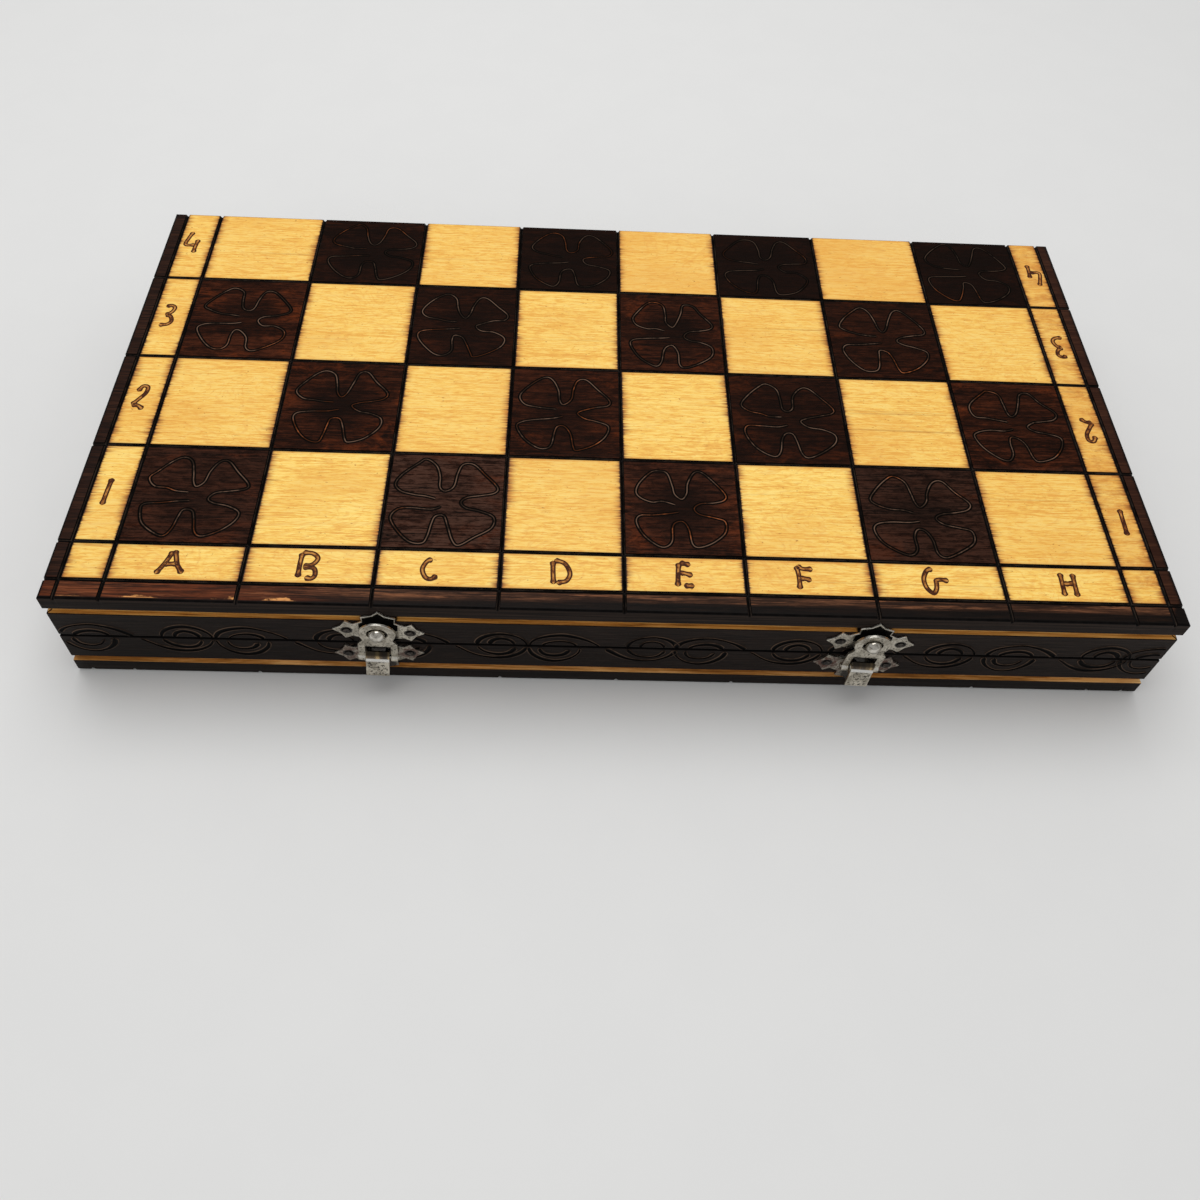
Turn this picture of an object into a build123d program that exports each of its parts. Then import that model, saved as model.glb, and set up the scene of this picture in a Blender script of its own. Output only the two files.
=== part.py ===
from build123d import *
from math import asin, atan2, cos, degrees, pi, radians, sin
import os

# Folding chess set: a shallow wooden case in two trays, hinged along the back, whose two large
# faces are the two halves of the playing board. Two toggle latches hold the front shut and the
# chessmen lie inside. Closed, it stands on its lower board, with +X to the right, +Y to the
# hinges and +Z up. The origin is the centre of the underside. Millimetres.

# Case
case_length = 400.0
case_depth = 200.0
panel_thickness = 7.2
tray_height = 25.4
seam_gap = 0.2
rail_thickness = 10.0
rebate_height = 3.4
rebate_depth = 1.8
arris = 0.8
seam_chamfer = 0.6

# Grid sawn by hand into the board: even pitch, and how far each cut strays from it
square_pitch = 45.0
squares_across = 8
side_border = 5.4
front_border = 7.6
letter_band = 15.6
file_cut_strays = (0.6, 1.8, 2.7, 1.1, -0.1, -1.4, -0.9, 1.2, 1.0)
row_cut_strays = (0.0, -1.7, -0.7, 0.2)
groove_width = 1.7
groove_depth = 1.0

# Butt hinges
hinge_spacing = 240.0
hinge_length = 32.0
knuckle_count = 3
knuckle_radius = 2.7
knuckle_gap = 0.15
hinge_pin_radius = 1.1
hinge_axis_outside = 0.35
leaf_thickness = 1.2
leaf_width = 8.6
mortise_clearance = 0.15

# Toggle latches, each set by hand a little out of true: heights are above or below the seam
latch_places = (-86.1, 89.4)
strike_height = 9.0
base_fall = 6.4
base_shift = (-1.0, -1.8)
strike_tilt = (3.6, 3.8)
base_tilt = (-2.2, 2.4)
latch_lean = (3.0, 5.0)
plate_thickness = 0.8
plate_tip = 16.2
plate_neck = (13.3, 2.3)
plate_spike = (11.6, 5.6)
plate_waist = (9.0, 3.9)
plate_body = (7.0, 4.4)
crown_neck = (5.7, 5.9)
crown_side = (6.1, 9.0)
crown_dip = (2.4, 10.2)
crown_tip = 13.0
crown_rim = 1.2
nail_spacing = 22.2
nail_hole_radius = 1.45
nail_radius = 1.2
nail_shank = 1.3
nail_length = 6.0
nail_head_rise = 0.25

# Ball stud and the ring that drops over it
ball_height = 11.6
ball_sides = 24
ball_rings = 5
ball_radius = 2.9
ball_neck_radius = 2.2
ball_seat_rim = 1.2
ball_neck_end = 3.7
ball_rise = 6.3
ring_play = 0.4
ring_radius = 6.5
ring_hole_radius = 3.7
link_thickness = 1.0
link_out = 2.9
link_neck = (5.4, 4.6)
link_shoulder_drop = 6.9
link_half_width = 7.0
window_half_width = 4.45
window_drop = 8.4
eye_radius = 1.5

# Lever, its ears and pivots: distance out from the case front, fall below the seam
pivot_out = 3.4
pivot_fall = 1.3
link_pivot_fall = 5.1
lever_half_width = 4.15
lever_sheet = 0.7
lever_nose_radius = 2.0
lever_nose_start = 68.0
lever_fold = (5.7, 2.9)
lever_tip = (7.2, 10.9)
cheek_radius = 1.4
ear_radius = 1.1
ear_thickness = 0.75
ear_gap = 0.2
ear_root = (2.7, 5.7)
latch_pin_radius = 0.6
running_clearance = 0.05
rivet_end = 0.3

# Chessmen, two rows of sixteen: height, then base and head radius as shares of the row's pitch
king_size = (84.0, 0.61, 0.32)
queen_size = (76.0, 0.57, 0.36)
bishop_size = (66.0, 0.53, 0.28)
knight_size = (58.0, 0.53, 0.40)
rook_size = (50.0, 0.53, 0.36)
pawn_size = (42.0, 0.47, 0.28)
knight_head_thickness = 12.0
men_in_row = 16
row_end_gap = 2.0
row_gap = 3.0
turned_sides = 10
rest_gap = 0.05

case_height = 2 * tray_height + seam_gap
half_length = case_length / 2
half_depth = case_depth / 2
seam_height = case_height / 2
inner_floor = panel_thickness
man_pitch = (case_length - 2 * rail_thickness - 2 * row_end_gap) / men_in_row
officer_row_y = rail_thickness + row_gap + king_size[0] / 2 - half_depth
pawn_row_y = officer_row_y + king_size[0] / 2 + row_gap + pawn_size[0] / 2


def write(name, shape):
    """Write one node: a solid, or a group of separate solids."""
    export_step(shape, "parts/" + name + ".step")
    print(name, len(shape.solids()), "solids")


def mirrored_up(shape):
    """The lid's copy of a lower tray piece, mirrored about the seam."""
    return shape.mirror(Plane.XY.offset(seam_height))


def board_panel():
    """Lower board with the playing grid sawn into its outer, downward face."""
    panel = Box(case_length, case_depth, panel_thickness, align=(Align.CENTER, Align.CENTER, Align.MIN))
    panel = chamfer(panel.faces().sort_by(Axis.Z)[0].edges(), arris)
    first_file = -squares_across * square_pitch / 2
    lines_x = [first_file + i * square_pitch + stray for i, stray in enumerate(file_cut_strays)]
    lines_x += [half_length - side_border, side_border - half_length]
    first_row = front_border + letter_band - half_depth
    lines_y = [first_row + i * square_pitch + stray for i, stray in enumerate(row_cut_strays)]
    lines_y.append(front_border - half_depth)
    vee = Polygon((-groove_width / 2, 0), (groove_width / 2, 0), (0, groove_depth), align=None)
    cuts = []
    for x in lines_x:
        cut = extrude(Plane.XZ * vee, case_depth / 2 + 1, both=True)
        cuts.append(Pos(x, 0, 0) * cut)
    for y in lines_y:
        cut = extrude(Plane.YZ * vee, case_length / 2 + 1, both=True)
        cuts.append(Pos(0, y, 0) * cut)
    return panel - cuts


def rail_profile():
    """Cross-section of a rail: across from the outer face, and height above the underside."""
    ledge = panel_thickness + rebate_height
    return Polygon(
        (rebate_depth, panel_thickness),
        (rebate_depth, ledge),
        (0, ledge),
        (0, tray_height - seam_chamfer),
        (seam_chamfer, tray_height),
        (rail_thickness, tray_height),
        (rail_thickness, panel_thickness),
        align=None,
    )


def rail(length, reach):
    """Rail along X at the front, mitred at both ends, its outer face at y = -reach."""
    plane = Plane(origin=(0, -reach, 0), x_dir=(0, 1, 0), z_dir=(1, 0, 0))
    bar = extrude(plane * rail_profile(), length / 2, both=True)
    inner = length / 2 - rail_thickness
    mitre = Polygon(
        (-length / 2, -reach),
        (length / 2, -reach),
        (inner, rail_thickness - reach),
        (-inner, rail_thickness - reach),
        align=None,
    )
    return bar & extrude(mitre, case_height)


def hinge_clearance():
    """Room cut in the lower back rail for both hinges: a leaf mortise and a knuckle trough."""
    width = hinge_length + 2 * mortise_clearance
    axis_y = half_depth + hinge_axis_outside
    trough = Cylinder(knuckle_radius + mortise_clearance, width, rotation=(0, 90, 0))
    leaf_reach = hinge_axis_outside + leaf_width + mortise_clearance
    depth = leaf_thickness + seam_gap / 2
    mortise = Box(width, leaf_reach, depth, align=(Align.CENTER, Align.MAX, Align.MIN))
    cuts = []
    for side in (-1, 1):
        x = side * hinge_spacing / 2
        cuts.append(Pos(x, axis_y, seam_height) * trough)
        cuts.append(Pos(x, axis_y, seam_height - seam_gap / 2 - leaf_thickness) * mortise)
    return cuts


def hinge_leaf(own_knuckles):
    """Lower leaf of a hinge centred on x = 0, with the knuckles numbered in own_knuckles."""
    axis_y = half_depth + hinge_axis_outside
    top = seam_height - seam_gap / 2
    trough_edge = axis_y - knuckle_radius - mortise_clearance
    inner_edge = half_depth - leaf_width
    seated = (Align.CENTER, Align.MIN, Align.MAX)
    plate = Box(hinge_length, trough_edge - inner_edge, leaf_thickness, align=seated)
    leaf = Pos(0, inner_edge, top) * plate
    pitch = hinge_length / knuckle_count
    width = pitch - knuckle_gap
    for number in own_knuckles:
        x = (number - (knuckle_count - 1) / 2) * pitch
        web = Box(width, axis_y - trough_edge, leaf_thickness, align=seated)
        leaf += Pos(x, trough_edge, top) * web
        leaf += Pos(x, axis_y, seam_height) * Cylinder(knuckle_radius, width, rotation=(0, 90, 0))
    bore = Cylinder(hinge_pin_radius + running_clearance, hinge_length + 1, rotation=(0, 90, 0))
    return leaf - Pos(0, axis_y, seam_height) * bore


def hinge_pin():
    """Hinge pin, a little longer than the knuckles it holds."""
    axis_y = half_depth + hinge_axis_outside
    pin = Cylinder(hinge_pin_radius, hinge_length + 0.2, rotation=(0, 90, 0))
    return Pos(0, axis_y, seam_height) * pin


def front_plane(out):
    """Sketch plane parallel to the case front, out millimetres in front of it."""
    return Plane(origin=(0, -half_depth - out, 0), x_dir=(1, 0, 0), z_dir=(0, -1, 0))


def side_plane(x):
    """Sketch plane across a latch: first axis out from the case, second down from the seam."""
    return Plane(origin=(x, -half_depth, seam_height), x_dir=(0, -1, 0), z_dir=(1, 0, 0))


def both_sides(points):
    """Outline points on the right, followed by their mirror image on the left."""
    return list(points) + [(-x, y) for x, y in reversed(points) if x > 0]


def plate_outline():
    """Barbed plate of a latch, seen from the front, with its crown pointing up."""
    right = [
        (plate_body[0], -plate_body[1]),
        (plate_waist[0], -plate_waist[1]),
        (plate_spike[0], -plate_spike[1]),
        (plate_neck[0], -plate_neck[1]),
        (plate_tip, 0),
        plate_neck,
        plate_spike,
        plate_waist,
        crown_neck,
        crown_side,
        crown_dip,
        (0, crown_tip),
    ]
    sketch = Polygon(*both_sides(right), align=None)
    for side in (-1, 1):
        sketch -= Pos(side * nail_spacing / 2, 0) * Circle(nail_hole_radius)
    return sketch


def crown_window():
    """Opening inside the crown's narrow rim, above the ball stud."""
    right = [
        (crown_neck[0] - crown_rim, 1.0),
        (crown_neck[0] - crown_rim, crown_neck[1]),
        (crown_side[0] - 1.6 * crown_rim, crown_side[1] - crown_rim),
        (crown_dip[0] - 0.3 * crown_rim, crown_dip[1] - crown_rim),
        (0, crown_tip - 1.5 * crown_rim),
    ]
    return Polygon(*both_sides(right), align=None)


def place_plate(solid, x, rise, tilt):
    """Turn a plate about its middle by its tilt and set it on the case front, above the seam."""
    return Pos(x, 0, seam_height + rise) * solid.rotate(Axis.Y, tilt)


def strike_plate(number):
    """Upper plate, nailed to the lid, open inside its crown."""
    sketch = plate_outline() - crown_window()
    sketch += Pos(0, ball_height - strike_height) * Circle(ball_neck_radius + ball_seat_rim)
    plate = extrude(front_plane(0) * sketch, plate_thickness)
    return place_plate(plate, latch_places[number], strike_height, strike_tilt[number])


def ball_stud(number):
    """Stud on the strike plate, its round head drawn as rings of small flats."""
    centre = ball_rise - ball_radius
    start = asin((ball_neck_end - centre) / ball_radius)
    steps = [(ball_neck_radius, plate_thickness), (ball_neck_radius, ball_neck_end)]
    for i in range(ball_rings):
        angle = start + (pi / 2 - start) * i / ball_rings
        steps.append((ball_radius * cos(angle), centre + ball_radius * sin(angle)))
    stud = turned(steps, ball_sides).rotate(Axis.X, 90)
    return Pos(latch_places[number], -half_depth, seam_height + ball_height) * stud


def lean(solid, number):
    """Swing a latch's moving pieces about its ball, lower end to the left."""
    centre = (latch_places[number], 0, seam_height + ball_height)
    return solid.rotate(Axis(centre, (0, 1, 0)), latch_lean[number])


def base_plate(number):
    """Lower plate, crown down, with two ears standing out to hold the lever."""
    plate = extrude(front_plane(0) * plate_outline(), plate_thickness)
    plate = plate.rotate(Axis.Y, 180)
    x = latch_places[number] + base_shift[number]
    plate = place_plate(plate, x, -base_fall, base_tilt[number])
    half = lever_half_width - lever_sheet - ear_gap
    seat = plate_thickness / 2
    corner = 0.42 * ear_radius
    outline = Polygon(
        (seat, ear_root[0]),
        (pivot_out - corner, pivot_fall - ear_radius),
        (pivot_out + corner, pivot_fall - ear_radius),
        (pivot_out + ear_radius, pivot_fall - corner),
        (pivot_out + ear_radius, pivot_fall + corner),
        (pivot_out + corner, pivot_fall + ear_radius),
        (seat, ear_root[1]),
        align=None,
    )
    outline -= Pos(pivot_out, pivot_fall) * Circle(latch_pin_radius)
    for side in (-1, 1):
        near = latch_places[number] + side * (half - ear_thickness / 2) - ear_thickness / 2
        plate += lean(extrude(side_plane(near) * outline, ear_thickness), number)
    return plate


def lever(number):
    """Pressed lever: a nose curled round the pivot, a fold, a finger tab and two cheeks."""
    nose = radians(lever_nose_start)
    inner_radius = lever_nose_radius - lever_sheet
    centre = (pivot_out, pivot_fall)

    def around(radius, angle):
        return (centre[0] + radius * cos(angle), centre[1] - radius * sin(angle))

    tab = atan2(lever_tip[0] - lever_fold[0], lever_tip[1] - lever_fold[1])
    back = (lever_sheet * cos(tab), -lever_sheet * sin(tab))
    outer = [around(lever_nose_radius, nose * share) for share in (1, 0.5, 0)]
    inner = [around(inner_radius, nose * share) for share in (0, 0.5, 1)]
    with BuildSketch() as face:
        with BuildLine():
            ThreePointArc(*outer)
            Polyline(
                outer[2],
                lever_fold,
                lever_tip,
                (lever_tip[0] - back[0], lever_tip[1] - back[1]),
                (lever_fold[0] - lever_sheet, lever_fold[1] + 0.1),
                inner[0],
            )
            ThreePointArc(*inner)
            Line(inner[2], outer[0])
        make_face()
    x = latch_places[number]
    body = extrude(side_plane(x - lever_half_width) * face.sketch, 2 * lever_half_width)
    corner = 0.42 * cheek_radius
    cheek = Polygon(
        (pivot_out - corner, pivot_fall - cheek_radius),
        (pivot_out + corner, pivot_fall - cheek_radius),
        around(lever_nose_radius - 0.2, 0),
        (lever_fold[0] - 0.3, lever_fold[1]),
        (lever_fold[0] + 0.1, lever_fold[1] + 2.6),
        (link_out + corner, link_pivot_fall + cheek_radius),
        (link_out - corner, link_pivot_fall + cheek_radius),
        (link_out - cheek_radius, link_pivot_fall + corner),
        (link_out - cheek_radius, link_pivot_fall - corner),
        (pivot_out - cheek_radius, pivot_fall + corner),
        (pivot_out - cheek_radius, pivot_fall - corner),
        align=None,
    )
    cheek -= Pos(*centre) * Circle(latch_pin_radius + running_clearance)
    cheek -= Pos(link_out, link_pivot_fall) * Circle(latch_pin_radius)
    for start in (-lever_half_width, lever_half_width - lever_sheet):
        body += extrude(side_plane(x + start) * cheek, lever_sheet)
    return lean(body, number)


def lever_pin(number):
    """Pin through the ears and cheeks."""
    start = side_plane(latch_places[number] - lever_half_width)
    section = start * Pos(pivot_out, pivot_fall) * Circle(latch_pin_radius)
    return lean(extrude(section, 2 * lever_half_width), number)


def link_rivets(number):
    """Two rivets that join the link's eyes to the lever's cheeks."""
    x = latch_places[number]
    inner = lever_half_width - lever_sheet
    outer = link_half_width + rivet_end
    spot = Pos(link_out, link_pivot_fall)
    right = extrude(side_plane(inner) * spot * Circle(latch_pin_radius), outer - inner)
    left = right.mirror(Plane.YZ)
    return lean(Pos(x, 0, 0) * Compound(children=[right, left]), number)


def link(number):
    """Ring with two arms that end in eyes on the lever's rivets."""
    ring_height = ball_height - ring_play
    reach = ring_height + link_pivot_fall
    outline = Circle(ring_radius)
    right = [
        (link_half_width, reach),
        (link_half_width, link_shoulder_drop),
        (link_neck[0], link_neck[1]),
        (link_neck[0], 0),
    ]
    mirrored = [(x, -y) for x, y in right]
    outline += Polygon(*both_sides(mirrored), align=None)
    window = Polygon(
        *both_sides([(window_half_width, -reach - 1), (window_half_width, -window_drop)]),
        align=None,
    )
    outline = outline - window - Circle(ring_hole_radius)
    back = front_plane(link_out - link_thickness / 2) * Pos(0, seam_height + ring_height)
    sheet = extrude(back * outline, link_thickness)
    arm_width = link_half_width - window_half_width
    spot = Pos(link_out, link_pivot_fall)
    for start in (-link_half_width, window_half_width):
        sheet += extrude(side_plane(start) * spot * Circle(eye_radius), arm_width)
    hole = extrude(side_plane(-10) * spot * Circle(latch_pin_radius + running_clearance), 20)
    return lean(Pos(latch_places[number], 0, 0) * (sheet - hole), number)


def plate_nails(rise, tilt, shift):
    """Square-shanked nails of the two plates on one half of the case."""
    nails = []
    head = Circle(nail_radius)
    shank = Rectangle(nail_shank, nail_shank)
    for number, place in enumerate(latch_places):
        for side in (-1, 1):
            spot = Pos(side * nail_spacing / 2, 0)
            nail = extrude(front_plane(-nail_length) * spot * shank, nail_length)
            nail += extrude(front_plane(0) * spot * head, plate_thickness + nail_head_rise)
            nails.append(place_plate(nail, place + shift[number], rise, tilt[number]))
    return nails


def ring_points(radius, height, sides):
    """Corners of one level ring of a turned piece."""
    turn = 2 * pi / sides
    return [(radius * cos(i * turn), radius * sin(i * turn), height) for i in range(sides)]


def flat_face(points):
    return Face(Wire.make_polygon(points, close=True))


def turned(steps, sides):
    """Turned piece along Z, nearly round, from its radius and height at each step."""
    steps = [step for i, step in enumerate(steps) if i == 0 or step != steps[i - 1]]
    rings = [ring_points(radius, height, sides) for radius, height in steps]
    faces = [flat_face(rings[0]), flat_face(rings[-1])]
    for lower, upper in zip(rings, rings[1:]):
        for i in range(sides):
            j = (i + 1) % sides
            faces.append(flat_face([lower[i], lower[j], upper[j], upper[i]]))
    return Solid(Shell(faces))


def man_size(size):
    """Height, base radius and head radius of a man, in millimetres."""
    return size[0], size[1] * man_pitch, size[2] * man_pitch


def king():
    height, base, head = man_size(king_size)
    neck = 0.62 * height
    steps = [(base, 0), (base, 5), (6.2, 16), (5.0, neck), (head + 1, neck + 2)]
    steps += [(5.2, neck + 4), (head, 0.88 * height), (2.0, 0.91 * height)]
    bar = Pos(0, 0, 0.95 * height) * Box(7, 2.6, 2.6)
    post_height = 0.1 * height
    post = Pos(0, 0, height - post_height / 2) * Box(2.6, 2.6, post_height)
    return turned(steps, turned_sides) + post + bar


def queen():
    height, base, head = man_size(queen_size)
    neck = 0.64 * height
    steps = [(base, 0), (base, 5), (5.8, 15), (4.6, neck), (head - 1, neck + 2)]
    steps += [(4.8, neck + 4), (head, 0.93 * height), (2.4, height)]
    return turned(steps, turned_sides)


def bishop():
    height, base, head = man_size(bishop_size)
    neck = 0.60 * height
    steps = [(base, 0), (base, 4.5), (5.2, 14), (4.2, neck), (head, neck + 2)]
    steps += [(4.4, neck + 4), (head, 0.80 * height), (1.6, height)]
    return turned(steps, turned_sides)


def rook():
    height, base, head = man_size(rook_size)
    neck = 0.66 * height
    steps = [(base, 0), (base, 4.5), (7.4, 11), (6.2, neck), (head, neck + 3), (head, height)]
    well = extrude(RegularPolygon(head - 2.4, turned_sides), 4)
    return turned(steps, turned_sides) - Pos(0, 0, height - 4) * well


def knight():
    height, base, head = man_size(knight_size)
    body = turned([(base, 0), (base, 4.5), (8.2, 11), (7.2, 17)], turned_sides)
    outline = Polygon(
        (-head + 2, 15),
        (-head, 0.55 * height),
        (-0.5 * head, 0.86 * height),
        (-0.1 * head, height),
        (0.35 * head, 0.86 * height),
        (head, 0.66 * height),
        (0.75 * head, 0.56 * height),
        (0.1 * head, 0.62 * height),
        (0.65 * head, 15),
        align=None,
    )
    return body + extrude(Plane.XZ * outline, knight_head_thickness / 2, both=True)


def pawn():
    height, base, head = man_size(pawn_size)
    neck = 0.55 * height
    steps = [(base, 0), (base, 4), (4.0, neck), (head, neck + 5), (head, height - 5), (3.0, height)]
    return turned(steps, turned_sides)


def laid_down(piece, size, head_radius, x, y, turned_back):
    """Lay a standing piece on the tray floor so that its base rim and its head both touch."""
    height, base, _ = man_size(size)
    slope = degrees(asin((base - head_radius) / (0.8 * height)))
    flat = Pos(0, 0, -height / 2) * piece
    flat = flat.rotate(Axis.X, -90 - slope if turned_back else 90 + slope)
    low = flat.bounding_box().min.Z
    return Pos(x, y, inner_floor + rest_gap - low) * flat


def men(shape, size, head_radius, numbers, colour, row_y):
    """The men of one kind and colour, each at its numbered place in a row, turned head to tail."""
    half_row = men_in_row // 2
    laid = []
    for number in numbers:
        place = number + half_row * colour
        x = (place - (men_in_row - 1) / 2) * man_pitch
        laid.append(laid_down(shape, size, head_radius, x, row_y, place % 2 == 1))
    return laid


def group(solids):
    """Separate solids kept together in one node."""
    return solids[0] if len(solids) == 1 else Compound(children=list(solids))


def main():
    os.makedirs("parts", exist_ok=True)
    lower_board = board_panel()
    front = rail(case_length, half_depth)
    back = front.rotate(Axis.Z, 180) - hinge_clearance()
    end = rail(case_depth, half_length)
    left = end.rotate(Axis.Z, -90)
    right = end.rotate(Axis.Z, 90)
    write("lower_board", lower_board)
    write("upper_board", mirrored_up(lower_board))
    write("lower_front_rail", front - plate_nails(-base_fall, base_tilt, base_shift))
    write("lower_back_rail", back)
    write("lower_left_rail", left)
    write("lower_right_rail", right)
    level = (0, 0)
    upper_front = mirrored_up(front) - plate_nails(strike_height, strike_tilt, level)
    write("upper_front_rail", upper_front)
    write("upper_back_rail", mirrored_up(back))
    write("upper_left_rail", mirrored_up(left))
    write("upper_right_rail", mirrored_up(right))

    lower_leaf = hinge_leaf(range(0, knuckle_count, 2))
    upper_leaf = mirrored_up(hinge_leaf(range(1, knuckle_count, 2)))
    pin = hinge_pin()
    for name, side in (("left", -1), ("right", 1)):
        shift = Pos(side * hinge_spacing / 2, 0, 0)
        write(name + "_hinge_lower_leaf", shift * lower_leaf)
        write(name + "_hinge_upper_leaf", shift * upper_leaf)
        write(name + "_hinge_pin", shift * pin)

    for number, name in enumerate(("left", "right")):
        write(name + "_latch_strike_plate", strike_plate(number))
        write(name + "_latch_ball_stud", ball_stud(number))
        write(name + "_latch_base_plate", base_plate(number))
        write(name + "_latch_lever", lever(number))
        write(name + "_latch_lever_pin", lever_pin(number))
        write(name + "_latch_link", link(number))
        write(name + "_latch_link_rivets", link_rivets(number))
    write("upper_latch_nails", group(plate_nails(strike_height, strike_tilt, level)))
    write("lower_latch_nails", group(plate_nails(-base_fall, base_tilt, base_shift)))

    officers = (
        ("rooks", rook(), rook_size, (0, 7)),
        ("knights", knight(), knight_size, (1, 6)),
        ("bishops", bishop(), bishop_size, (2, 5)),
        ("queen", queen(), queen_size, (3,)),
        ("king", king(), king_size, (4,)),
    )
    pawn_shape = pawn()
    pawn_head = man_size(pawn_size)[2]
    for colour, name in enumerate(("light", "dark")):
        for kind, shape, size, numbers in officers:
            head = knight_head_thickness / 2 if kind == "knights" else man_size(size)[2]
            laid = men(shape, size, head, numbers, colour, officer_row_y)
            write(name + "_" + kind, group(laid))
        laid = men(pawn_shape, pawn_size, pawn_head, range(men_in_row // 2), colour, pawn_row_y)
        write(name + "_pawns", group(laid))


main()
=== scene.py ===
import math

import bmesh
import bpy
import numpy as np
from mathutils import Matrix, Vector


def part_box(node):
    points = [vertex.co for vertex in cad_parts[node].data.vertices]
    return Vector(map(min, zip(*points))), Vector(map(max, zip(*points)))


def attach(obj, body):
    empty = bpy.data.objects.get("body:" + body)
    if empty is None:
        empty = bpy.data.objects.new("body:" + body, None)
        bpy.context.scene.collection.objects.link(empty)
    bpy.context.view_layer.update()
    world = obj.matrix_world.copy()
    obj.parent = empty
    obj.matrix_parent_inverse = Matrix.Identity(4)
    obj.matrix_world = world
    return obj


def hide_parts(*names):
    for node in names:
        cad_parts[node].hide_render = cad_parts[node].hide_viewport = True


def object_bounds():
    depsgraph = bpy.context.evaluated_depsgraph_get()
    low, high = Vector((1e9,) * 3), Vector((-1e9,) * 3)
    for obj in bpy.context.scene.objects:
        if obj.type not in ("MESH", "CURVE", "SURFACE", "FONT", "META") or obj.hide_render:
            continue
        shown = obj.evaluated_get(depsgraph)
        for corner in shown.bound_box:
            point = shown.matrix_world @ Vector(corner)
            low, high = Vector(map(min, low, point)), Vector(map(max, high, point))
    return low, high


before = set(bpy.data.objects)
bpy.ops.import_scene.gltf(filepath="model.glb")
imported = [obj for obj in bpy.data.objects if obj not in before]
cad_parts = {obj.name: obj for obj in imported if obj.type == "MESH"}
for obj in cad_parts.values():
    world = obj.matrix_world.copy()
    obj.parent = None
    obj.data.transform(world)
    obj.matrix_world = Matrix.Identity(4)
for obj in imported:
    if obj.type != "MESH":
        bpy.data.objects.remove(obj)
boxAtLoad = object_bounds()
mm = 0.001

# The closed case in millimetres; the ends are drawn in a little to leave room for the scrolls' lips
halfLength, halfDepth, topZ, seamZ, endX = 200.0, 100.0, 51.0, 25.5, 199.7
sides = ("left", "right")
halves = (("upper", "lid", True), ("lower", "tray", False))

# Shared mesh helpers


# Quads between neighbouring rows and columns of a grid of points; closed columns join the last one to the first
def gridFaces(rows, columns, closeColumns=False):
    a, b = np.meshgrid(np.arange(rows - 1), np.arange(columns if closeColumns else columns - 1), indexing="ij")
    c, d = a + 1, (b + 1) % columns
    corners = [a * columns + b, a * columns + d, c * columns + d, c * columns + b]
    return np.stack(corners, -1).reshape(-1, 4).tolist()


# Two end outlines of m points each and the quads between them
def prismFaces(m):
    sides = [[i, (i + 1) % m, m + (i + 1) % m, m + i] for i in range(m)]
    return [list(range(m)), list(range(m, 2 * m))] + sides


# Several (points, faces, tag) shells as one, the face numbers moved up by the points before them
def joined(shells):
    points, faces, tags, before = [], [], [], 0
    for shellPoints, shellFaces, shellTag in shells:
        points.append(shellPoints)
        tags.append(shellTag)
        faces += [[before + corner for corner in face] for face in shellFaces]
        before += len(shellPoints)
    return np.vstack(points), faces, np.concatenate(tags)


def addObject(name, data):
    made = bpy.data.objects.new(name, data)
    bpy.context.scene.collection.objects.link(made)
    return made


# Smooth faces with crisp edges, as a new object on its body
def dressed(name, mesh, body, replaced, sharpAt):
    mesh.shade_smooth()
    mesh.set_sharp_from_angle(angle=math.radians(sharpAt))
    piece = addObject(name, mesh)
    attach(piece, body)
    if replaced:
        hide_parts(*replaced)
    return piece


# One piece whose place is in its mesh; doubles are merged and normals turned outwards before anything else
def makePiece(name, points, faces, materials, body, replaced=(), tags=None, faceMaterials=None, sharpAt=35.0):
    mesh = bpy.data.meshes.new(name)
    mesh.from_pydata(points.tolist(), [], faces)
    for tagName, values in (tags or {}).items():
        mesh.attributes.new(tagName, "FLOAT", "POINT").data.foreach_set("value", np.asarray(values, np.float32))
    for material in materials:
        mesh.materials.append(material)
    if faceMaterials is not None:
        mesh.polygons.foreach_set("material_index", np.asarray(faceMaterials, np.int32))
    work = bmesh.new()
    work.from_mesh(mesh)
    bmesh.ops.remove_doubles(work, verts=work.verts, dist=1e-6)
    bmesh.ops.recalc_face_normals(work, faces=work.faces)
    work.to_mesh(mesh)
    work.free()
    return dressed(name, mesh, body, replaced, sharpAt)


# Length walked along a path up to each of its points
def walked(path):
    return np.concatenate([[0], np.cumsum(np.linalg.norm(np.diff(path, axis=0), axis=1))])


# Unit normal to the left of a path in a plane, at each of its points
def leftOf(path):
    slope = np.gradient(path, axis=0)
    slope /= np.linalg.norm(slope, axis=1)[:, None]
    return np.stack([-slope[:, 1], slope[:, 0]], -1)


# Catmull-Rom: each stretch is the cubic through its two points, its slopes half the line between the neighbours,
# read again at even steps of its own length
def smoothPath(points, spacing):
    p = np.array(points, float)
    p = np.vstack([2 * p[0] - p[1], p, 2 * p[-1] - p[-2]])
    t = np.linspace(0, 1, 12, endpoint=False)[:, None]
    a, b, c, d = p[:-3, None], p[1:-2, None], p[2:-1, None], p[3:, None]
    curve = 0.5 * (2 * b + (c - a) * t + (2 * a - 5 * b + 4 * c - d) * t**2 + (3 * b - a - 3 * c + d) * t**3)
    curve = np.vstack([curve.reshape(-1, p.shape[1]), p[-2]])
    along = walked(curve)
    stations = np.linspace(0, along[-1], max(4, int(along[-1] / spacing)))
    return np.stack([np.interp(stations, along, curve[:, k]) for k in range(curve.shape[1])], -1)


# Shared node helpers; they add to this node tree
tree = None

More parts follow.
